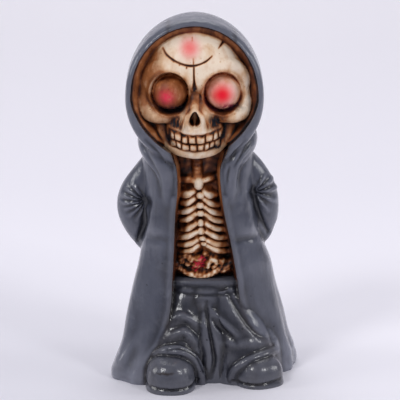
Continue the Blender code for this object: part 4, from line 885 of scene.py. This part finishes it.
def grid(x_span, z_span):
    """x and z of every cell of a grid over the two spans."""
    return np.meshgrid(np.arange(*x_span, STEP), np.arange(*z_span, STEP))


def read_grid(field, x_span, z_span, x, z):
    """The field at any x and z, weighed between the four nearest cells."""
    column = np.clip((x - x_span[0]) / STEP, 0, field.shape[1] - 1.001)
    row = np.clip((z - z_span[0]) / STEP, 0, field.shape[0] - 1.001)
    i, j = row.astype(int), column.astype(int)
    u, v = row - i, column - j
    lower = field[i, j] * (1 - v) + field[i, j + 1] * v
    return lower * (1 - u) + (field[i + 1, j] * (1 - v) + field[i + 1, j + 1] * v) * u


def face_wash_and_shade(x, z):
    """How much wash and painted shade lie on each spot of the skull and the lining: 0 is bare cream, 1 is black-brown.
    """
    skull, lining = skull_relief(x, z), lining_relief(x, z)
    relief = smooth_max(skull, lining, 0.9)
    fine, broad = blurred(relief, 0.35) - relief, blurred(relief, 1.7) - relief
    wash_and_shade = 1.2 * np.clip(fine, 0, 1) + 0.24 * np.clip(broad - 0.1, 0, 1.6)
    wash_and_shade *= 1 - 0.65 * step_up(opening_radius(x, z), 0.68, 0.80) * step_up(z, 88, 94)
    bare = step_up(skull - lining, -0.1, 0.5)
    edge = oval(x, z, *CRANIUM[0][::2], *CRANIUM[1][::2])
    tint = sum(strength * hill(x, z, *bell) for strength, *bell in STAINS)
    tint += 0.26 * step_up(edge, 0.86, 0.96) * step_up(z, 100, 106)
    tint += 0.33 * step_up(90.5 - z, 0, 4) * step_up(np.abs(x - MOUTH_X), 4.0, 9.0) + 0.10 * step_up(78.5 - z, 0, 2)
    for socket, eye, brown in zip(SOCKETS, EYES, EYE_BROWNS):
        out = oval(x, z, *socket)
        away = np.hypot(x - eye[0], z - eye[2])
        tint += 0.26 * np.exp(-(((out - 1.06) / 0.10) ** 2))
        ball = step_up(EYE_RADIUS - 0.05 - away, 0, 0.4)
        # Painted shade: each ball darkens towards its lower left and round its rim, and each socket's wall darkens
        # towards its bottom
        shade = 0.4 * step_up(-(x - eye[0]) * 0.6 - (z - eye[2]), 0.0, 5.0) + 0.6 * step_up(away, 4.6, 5.7)
        wall = 0.20 + 0.52 * step_up(eye[2] - z, -2.0, 4.0)
        inside = (brown + 0.30 * shade) * ball + wall * (1 - ball)
        hollow = step_up(1.03 - out, 0, 0.07)
        tint += (inside - tint) * hollow
        wash_and_shade *= 1 - 0.7 * hollow
    tooth, cover = np.maximum(*tooth_cover(x, z)), mouth_cover(x, z)
    up = np.abs(z - bite_line(x) - 0.2)
    gap = 0.92 - 0.40 * step_up(up, 2.5, 3.3)
    tint += (gap - (gap - 0.10 - 0.22 * step_up(up, 1.6, 3.0)) * tooth - tint) * cover
    wash_and_shade = wash_and_shade * (1 - 0.5 * cover) + 1.8 * cracks(x, z) * bare
    rim = opening_radius(x, z)
    # On the lining the brown deepens inwards and to the right, and a dark line along the hood's rim is painted shadow
    on_lining = 0.57 + 0.20 * step_up(0.88 - rim, 0, 0.08) + 0.4 * step_up(rim, 0.965, 0.99) + 0.18 * step_up(x, 4, 14)
    return np.clip(wash_and_shade + tint * bare + on_lining * (1 - bare), 0, 1)


def chest_wash_and_shade(x, z):
    """Wash on the ribcage, by height: the floor stays dark, the crests of the bones are wiped bare,
    and the throat under the jaw is painted darker as shade.
    """
    relief = chest_relief(x, z)
    fine = blurred(relief, 0.35) - relief
    crest = step_up(relief, 6.3, 8.8)
    # Above 67 mm the throat under the jaw gets painted shade
    wash_and_shade = 0.66 - 0.64 * crest + 0.4 * np.clip(fine, 0, 1) + 0.06 * step_up(z, 67, 69) * (1 - crest)
    wash_and_shade += 0.12 * step_up(np.abs(x + 1.4), 2.2, 6.5) + 0.22 * step_up(z, 67.5, 69.5) * crest
    wash_and_shade += 0.36 * hill(x, z, -6.6, 66.3, 3.0, 1.6) + 0.22 * hill(x, z, 3.6, 67.6, 2.6, 1.4)
    blots = np.sin(2.3 * x + 1.7 * z + 1.9 * np.sin(0.9 * z - x)) * np.sin(1.9 * x - 2.6 * z + 2.3 * np.sin(0.8 * x))
    stains = np.sin(1.1 * x + 0.7 * z + 1.5 * np.sin(0.6 * z)) * np.sin(0.9 * x - 1.6 * z + 1.2 * np.sin(x))
    wash_and_shade += (0.18 + 0.26 * blots) * step_up(43 - z, 0, 2) + 0.16 * stains
    strip = step_up(1.2 - lapel_gap(x, z), 0, 0.5)
    return np.clip(wash_and_shade * (1 - strip) + (0.54 + 0.36 * step_up(62 - z, 0, 8)) * strip, 0, 1)


# %% Paint masks
SPANS = {"face": ((-25.0, 19.0), (72.0, 119.0)), "chest": ((-13.5, 20.0), (25.0, 80.0))}
x, y, z = points.T
grids = {name: grid(*spans) for name, spans in SPANS.items()}
heights = {"face": face_relief(*grids["face"]), "chest": chest_relief(*grids["chest"])}
washes_and_shade = {"face": face_wash_and_shade(*grids["face"]), "chest": chest_wash_and_shade(*grids["chest"])}
off = {name: np.abs(-y - read_grid(heights[name], *SPANS[name], x, z)) for name in SPANS}
on_face = (off["face"] < off["chest"]) & (z > 73) | (z > 78)
wash_and_shade = np.where(on_face, *(read_grid(washes_and_shade[name], *SPANS[name], x, z) for name in ("face", "chest")))

# Airbrushed red: centre x and z, radius and strength of each spot, then the brush strokes on the pelvis
ROSE_SPOTS = ((-4.7, 110.7, 3.0, 0.72), (5.6, 95.9, 3.9, 1.0))
STROKES = (((-3.9, 36.6), (-2.4, 38.6), (-1.3, 39.4)), ((-2.4, 37.4), (-1.2, 39.4), (-0.9, 40.8)),
           ((-1.3, 37.0), (-0.7, 38.6), (0.2, 39.6)), ((-3.6, 38.9), (-1.8, 38.3), (-0.2, 38.2)),
           ((-2.9, 35.9), (-1.7, 37.0), (-0.3, 37.2)), ((-2.0, 39.9), (-1.2, 40.4), (-0.2, 40.3)))
rose = np.zeros(len(points))
for spot_x, spot_z, radius, strength in ROSE_SPOTS:
    rose = np.maximum(rose, strength * np.exp(-((np.hypot(x - spot_x, z - spot_z) / radius) ** 2.6)) * (z > 90))
crimson = 0.94 * np.exp(-((np.hypot(x + 12.0, z - 95.2) / 3.2) ** 2.4)) * (z > 90)
near = np.flatnonzero((z > 35) & (z < 42) & (np.abs(x + 1.6) < 4))
for stroke in STROKES:
    away, _ = path_distance(x[near], z[near], [(*end, 0.0) for end in stroke])
    crimson[near] = np.maximum(crimson[near], 0.95 * np.exp(-((away / 0.31) ** 2)))


def paint_mask(name, values):
    """Stores one number for each point of the figure, for a paint to read."""
    attribute = mesh.attributes.new(name, "FLOAT", "POINT")
    attribute.data.foreach_set("value", np.ascontiguousarray(values, dtype=np.float32))
    print(name, "mean", round(float(values.mean()), 3))


# A bend of this many millimetres counts in full as a ridge or a hollow
FULL_BEND = 0.02
# Centre x and z, half width and half height of each dark mark: streaks of dark paint beside the nose
# and the mouth, and painted shade in the notch under the brows and across the bottoms of the eyes
DARK_STREAK_AND_SHADE_SPOTS = (
    (-9.0, 86.6, 2.4, 2.2), (3.4, 86.8, 2.6, 2.2), (-11.4, 81.4, 1.2, 2.4), (5.8, 81.8, 1.3, 2.4),
    (-3.2, 97.4, 0.8, 0.8), (8.0, 91.6, 3.6, 1.2), (-10.0, 91.0, 4.0, 1.2), (4.0, 78.4, 1.5, 0.8),
)
gap = lapel_gap(x, z)
in_slot = step_up(gap, -0.6, 0.9) * (y < -3)
# Painted light: the coat lightens towards the ground, where light bounced up from the sheet would fall on it
painted_hem_light = 1.1 * step_up(17 - z, 0, 10) * (1 - in_slot)
chip = step_up(hill(x, z + 0.15 * np.sin(2 * x), -12.6, 7.0, 3.6, 0.5), 0.35, 0.75) * (y < -20)
stain = 0.5 * np.exp(-((gap / 0.8) ** 2)) * (y < -3)
inside = np.maximum(step_up(gap, 0.1, 0.5) * step_up(z, 34, 37), step_up(0.985 - opening_radius(x, z), 0, 0.03))
# The wash mask also carries painted shade on the eyes, along the hood's rim and on the throat
paint_mask("wash_and_shade", wash_and_shade)
paint_mask("rose", rose)
paint_mask("crimson", crimson)
# Dark streaks of paint beside the nose and mouth, and painted shade under the brows and at the bottoms of the eyes
paint_mask("dark_streaks_and_shade", np.max([1.3 * hill(x, z, *spot) * (y < -4) for spot in DARK_STREAK_AND_SHADE_SPOTS], axis=0))
paint_mask("hollow", np.clip(bend / FULL_BEND, 0, 1))
# Lighter ridges, as a dry brush leaves them, and the painted light on the lower coat
paint_mask("ridge_and_hem_light", np.clip(-bend / FULL_BEND, 0, 1) + painted_hem_light)
paint_mask("stain", np.clip(np.maximum(stain, 0.9 * chip), 0, 1))
paint_mask("trousers", in_slot * step_up(37 - z, 0, 2))
paint_mask("lining", inside * step_up(y, -12.5, -11.0) * (y < -1) * (z < 84))

# %% [markdown]
# The bones are matt ivory acrylic with a brown wash over it. Its warm crests hardly shine, the wash sits
# in every gap with some painted shade added, and a dry brush has left streaks and specks. The cloth is
# satin slate acrylic, brushed on by hand and rubbed at the edges: a dark grey that is nearly matt below,
# with a thin glossy film that draws long, slightly broken glints. Low on the coat the slate is painted
# lighter, as painted light from below. Film over paint is what the shader's coat layer stands for. Each
# pattern is a noise as wide as the brush mark that it copies, read in Object coordinates so that it
# stays on the figure. Specks and pinholes under 1.5 mm are drawn coarser than real, or they wouldn't show.


# %% Paint
def linear(code):
    """An sRGB hex colour as linear red, green, blue and alpha, which is what shaders take."""
    channels = [int(code[i : i + 2], 16) / 255 for i in (1, 3, 5)]
    return [c / 12.92 if c <= 0.04045 else ((c + 0.055) / 1.055) ** 2.4 for c in channels] + [1.0]


class Paint:
    """Builds one material's nodes; a value may be a number, a hex colour or another node's output."""

    def __init__(self, material):
        material.use_nodes = True
        self.tree = material.node_tree
        self.shader = self.tree.nodes["Principled BSDF"]

    def put(self, socket, value):
        """Links a node's output to a socket, or sets the socket's own value."""
        if isinstance(value, bpy.types.NodeSocket):
            self.tree.links.new(value, socket)
        else:
            socket.default_value = linear(value) if isinstance(value, str) else value

    def surface(self, **values):
        """Sets or links the shader's own sockets; an underscore stands for a space."""
        for key, value in values.items():
            self.put(self.shader.inputs[key.replace("_", " ")], value)

    def add(self, kind, output=0, props=None, **inputs):
        """A new node with its properties and inputs, i0 being the first one; returns the named output."""
        node = self.tree.nodes.new(kind)
        for key, value in (props or {}).items():
            setattr(node, key, value)
        for key, value in inputs.items():
            self.put(node.inputs[int(key[1:]) if key[1:].isdigit() else key.replace("_", " ")], value)
        return node.outputs[output]

    def mask(self, name, share=None):
        """A mask of the mesh, or a share of it."""
        mask = self.add("ShaderNodeAttribute", "Fac", {"attribute_name": name})
        return mask if share is None else self.maths("MULTIPLY", mask, share)

    def maths(self, operation, a, b, clamp=False):
        """One sum or product of two values."""
        return self.add("ShaderNodeMath", 0, {"operation": operation, "use_clamp": clamp}, i0=a, i1=b)

    def noise(self, size, detail, stretch=(1, 1, 1)):
        """Clouds about as wide as size, in millimetres; a stretch under 1 draws them out that way."""
        place = self.add("ShaderNodeMapping", 0, None, Vector=self.add("ShaderNodeTexCoord", "Object"), Scale=stretch)
        return self.add("ShaderNodeTexNoise", "Fac", None, Vector=place, Scale=1000 / size, Detail=detail)

    def between(self, value, low, high, to_low=0.0, to_high=1.0):
        """Carries low to high over to another range in a straight line, and stops at both ends."""
        return self.add("ShaderNodeMapRange", 0, None, i0=value, i1=low, i2=high, i3=to_low, i4=to_high)

    def mix(self, share, a, b):
        """Colour a where the share is 0, b where it is 1."""
        return self.add("ShaderNodeMix", 2, {"data_type": "RGBA"}, i0=share, i6=a, i7=b)

    def ramp(self, value, stops):
        """Colours at given places from 0 to 1, blended in between."""
        node = self.tree.nodes.new("ShaderNodeValToRGB")
        elements = node.color_ramp.elements
        while len(elements) < len(stops):
            elements.new(0.5)
        for element, (position, code) in zip(elements, stops):
            element.position, element.color = position, linear(code)
        self.put(node.inputs[0], value)
        return node.outputs[0]

    def bump(self, height, strength, distance):
        """Tilts the normal, as if the surface rose by the distance, in metres, where the height is 1."""
        return self.add("ShaderNodeBump", 0, None, Strength=strength, Distance=distance, Height=height)


# %% Paint the bones
def paint_bones(material):
    """Ivory acrylic, a ramp of wash and painted shade over it, then dark streaks with more painted shade and
    the two airbrushed reds. The wash dried in patches 4 mm wide with streaks of 2.4 mm, bristles left
    marks of 1.1 mm, and specks are 0.7 mm."""
    paint = Paint(material)
    patches = paint.between(paint.noise(3.85, 6), 0.3, 0.7, -0.17, 0.11)
    streaks = paint.between(paint.noise(2.38, 3, (1, 1, 0.3)), 0.45, 0.75, 0.0, 0.20)
    specks = paint.between(paint.noise(0.667, 2), 0.70, 0.78, 0.0, 0.35)
    wash_and_shade = paint.maths("ADD", paint.maths("ADD", paint.mask("wash_and_shade"), patches), streaks)
    wash_and_shade = paint.maths("ADD", wash_and_shade, specks, clamp=True)
    browns = (0.0, "#F8E4CC"), (0.25, "#E2BA92"), (0.5, "#AC6A3C"), (0.75, "#633218"), (1.0, "#150A07")
    bone = paint.ramp(wash_and_shade, browns)
    streaky = paint.between(paint.noise(1.11, 3, (1, 1, 0.4)), 0.36, 0.52)
    # Blue-black streaks, and painted shade under the brows and at the bottoms of the eyes
    bone = paint.mix(paint.maths("MULTIPLY", paint.mask("dark_streaks_and_shade"), streaky, clamp=True), bone, "#171A22")
    red = paint.ramp(paint.mask("rose"), ((0.0, "#FA6088"), (0.6, "#FA2E50"), (0.95, "#FF0C2C")))
    bone = paint.mix(paint.mask("rose"), bone, red)
    grain = paint.between(paint.noise(0.77, 2), 0.35, 0.65, 0.72, 1.0)
    crimson = paint.maths("MULTIPLY", paint.mask("crimson"), grain, clamp=True)
    dark_red = paint.ramp(paint.mask("crimson"), ((0.0, "#7A1026"), (0.5, "#B81434"), (0.95, "#EA2A50")))
    paint.surface(Base_Color=paint.mix(crimson, bone, dark_red), Roughness=0.46, Specular_IOR_Level=0.3,
                  Normal=paint.bump(paint.noise(1.11, 4), 0.25, 0.0002))


paint_bones(BONE_PAINT)
print(BONE_PAINT.name, len(BONE_PAINT.node_tree.nodes), "nodes")


# %% Paint the cloth
def paint_cloth(material):
    """Slate in clouds of 11 mm, then each further colour laid over it through its own mask. Smears of
    umber are 7 mm wide, the brush left waves of 4 mm and strokes of 2 mm, and pinholes are 1.4 mm."""
    paint = Paint(material)
    slate = paint.mix(paint.between(paint.noise(11.1, 5), 0.3, 0.7), "#3F424E", "#50535F")
    umber = paint.between(paint.noise(7.14, 4, (1, 1, 0.5)), 0.52, 0.74, 0.0, 0.34)
    pinholes = paint.between(paint.noise(1.43, 1), 0.77, 0.80)
    # The ridge mask lightens the ridges as a dry brush does and paints light on the lower coat
    for share, code in (
        (paint.mask("trousers", 0.85), "#24252D"), (paint.mask("ridge_and_hem_light", 0.32), "#8A8C98"),
        (paint.mask("hollow", 0.80), "#1E1E22"), (umber, "#3C3836"), (paint.mask("stain"), "#2A2320"),
        (paint.mask("lining"), "#4A2412"), (pinholes, "#1A1A1E"),
    ):
        slate = paint.mix(share, slate, code)
    strokes, waves = paint.noise(2.0, 3, (1, 1, 0.25)), paint.maths("MULTIPLY", paint.noise(4.35, 2), 1.6)
    brushed = paint.bump(paint.maths("ADD", strokes, waves), 0.5, 0.0004)
    satin = paint.between(paint.noise(3.33, 3), 0.3, 0.7, 0.30, 0.44)
    paint.surface(Base_Color=slate, Normal=brushed, Coat_Normal=brushed, Roughness=satin,
                  Coat_Weight=1.0, Coat_Roughness=0.19, Specular_IOR_Level=0.08)


paint_cloth(CLOTH_PAINT)
print(CLOTH_PAINT.name, len(CLOTH_PAINT.node_tree.nodes), "nodes")

# %% [markdown]
# The figure is smooth all over except along real edges, and it is set on the frame's own box.

# %% Shade and place the figure
points, _ = mesh_arrays(figure)
own_low, own_high = points.min(0) * MM, points.max(0) * MM
frame_low, frame_high = np.array(low), np.array(high)
placed = frame_low + (points * MM - own_low) * (frame_high - frame_low) / (own_high - own_low)
print("stretch to the frame", ((frame_high - frame_low) / (own_high - own_low)).round(4))
mesh.vertices.foreach_set("co", placed.ravel())
mesh.shade_smooth()
mesh.set_sharp_from_angle(angle=np.radians(55))
mesh.update()
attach(figure, "root")
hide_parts(NODE)

# %% [markdown]
# The photo was taken in a light box: a pale seamless sheet, a soft light above on the left, a weaker one
# on the right, light from the two side walls, which draws the long glints on the sleeves and the hood's
# rim, and some from all round. The camera looks down a little. The sheet is matt paper, so the eye sees
# no surface on it, only how the light falls off, and that fall-off is mixed into its colour.

# %% Set up the sheet
AIM = Vector((0.0, 0.0, 0.06))


def sweep_sheet():
    """A sheet that lies flat and curves up behind the figure, as one strip of arcs."""
    bend = np.linspace(0, np.pi / 2, 24)
    y = np.concatenate([[-1.5], 0.55 + 0.5 * np.sin(bend), [1.05]])
    z = np.concatenate([[0.0], 0.5 - 0.5 * np.cos(bend), [2.0]])
    strip = [np.column_stack([np.full(len(y), side), y, z]) for side in (-1.6, 1.6)]
    count = len(y)
    faces = [(i, i + count, i + count + 1, i + 1) for i in range(count - 1)]
    made = meshed("light_box_sheet", np.concatenate(strip), faces)
    made.data.shade_smooth()
    return made


def soft_light(name, azimuth, elevation, distance, size, power, aim=AIM):
    """A square area light aimed at the middle of the figure, or at another point."""
    data = bpy.data.lights.new(name, "AREA")
    data.size, data.energy = size, power
    light = added(name, data)
    look_from(light, aim, distance, azimuth, elevation)


def direction(azimuth, elevation):
    """From the figure towards a viewer: azimuth 0 is in front, 90 on the right."""
    a, e = np.radians(azimuth), np.radians(elevation)
    return Vector((np.sin(a) * np.cos(e), -np.cos(a) * np.cos(e), np.sin(e)))


def look_from(obj, target, distance, azimuth, elevation):
    """Places a light or the camera at a distance from the target, looking at it."""
    obj.location = target + distance * direction(azimuth, elevation)
    obj.rotation_euler = (target - obj.location).to_track_quat("-Z", "Y").to_euler()


def paint_paper(material):
    """Lilac grey at the feet, lighter behind and on the right, and nearly white far back."""
    paint = Paint(material)
    split = paint.tree.nodes.new("ShaderNodeSeparateXYZ")
    paint.put(split.inputs[0], paint.add("ShaderNodeTexCoord", "Object"))
    slanted = paint.maths("ADD", split.outputs["Y"], paint.maths("MULTIPLY", split.outputs["X"], 0.9))
    paper = paint.mix(paint.between(slanted, -0.09, 0.10), "#D8D7DF", "#F1EFF6")
    paper = paint.mix(paint.between(split.outputs["Y"], 0.25, 0.65), paper, "#FCFAFF")
    paint.surface(Base_Color=paper, Roughness=0.9)


sheet = sweep_sheet()
sheet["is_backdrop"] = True
sheet.data.materials.append(bpy.data.materials.new("pale_lilac_paper"))
paint_paper(sheet.data.materials[0])
print(sheet.name, "painted", sheet.data.materials[0].name)

# %% Lights and camera
# Name, azimuth, elevation, distance, size and power
LIGHTS = (
    ("key_light", -38, 45, 0.75, 0.17, 1.5), ("fill_light", 48, 35, 0.75, 0.15, 0.95),
    ("left_wall", -84, 24, 0.6, 0.22, 0.7), ("right_wall", 86, 22, 0.6, 0.22, 0.7),
    ("top_light", 180, 75, 0.8, 0.45, 1.2),
)
for row in LIGHTS:
    soft_light(*row)
soft_light("backdrop_light", 0, 90, 0.9, 0.9, 2.5, aim=Vector((0.0, 0.7, 0.0)))
world = bpy.data.worlds.new("light_box")
bpy.context.scene.world = world
world.use_nodes = True
background = world.node_tree.nodes["Background"]
background.inputs["Color"].default_value = linear("#E9E8F6")
background.inputs["Strength"].default_value = 0.36
bpy.context.scene.view_settings.view_transform = "Standard"

LENS, CAMERA_DISTANCE, LOOK_DOWN = 206.9, 0.75, 15
camera = added("camera", bpy.data.cameras.new("camera"))
camera.data.lens = LENS
look_from(camera, Vector((-0.0016, 0.0034, 0.0579)), CAMERA_DISTANCE, 0, LOOK_DOWN)
bpy.context.scene.camera = camera
print(len(LIGHTS) + 1, "lights, camera at", [round(v, 3) for v in camera.location])

# %% [markdown]
# Last, the box of what was built on the frame is measured, beside the CAD model's box from the start.

bpy.context.view_layer.update()
own_low, own_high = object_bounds()
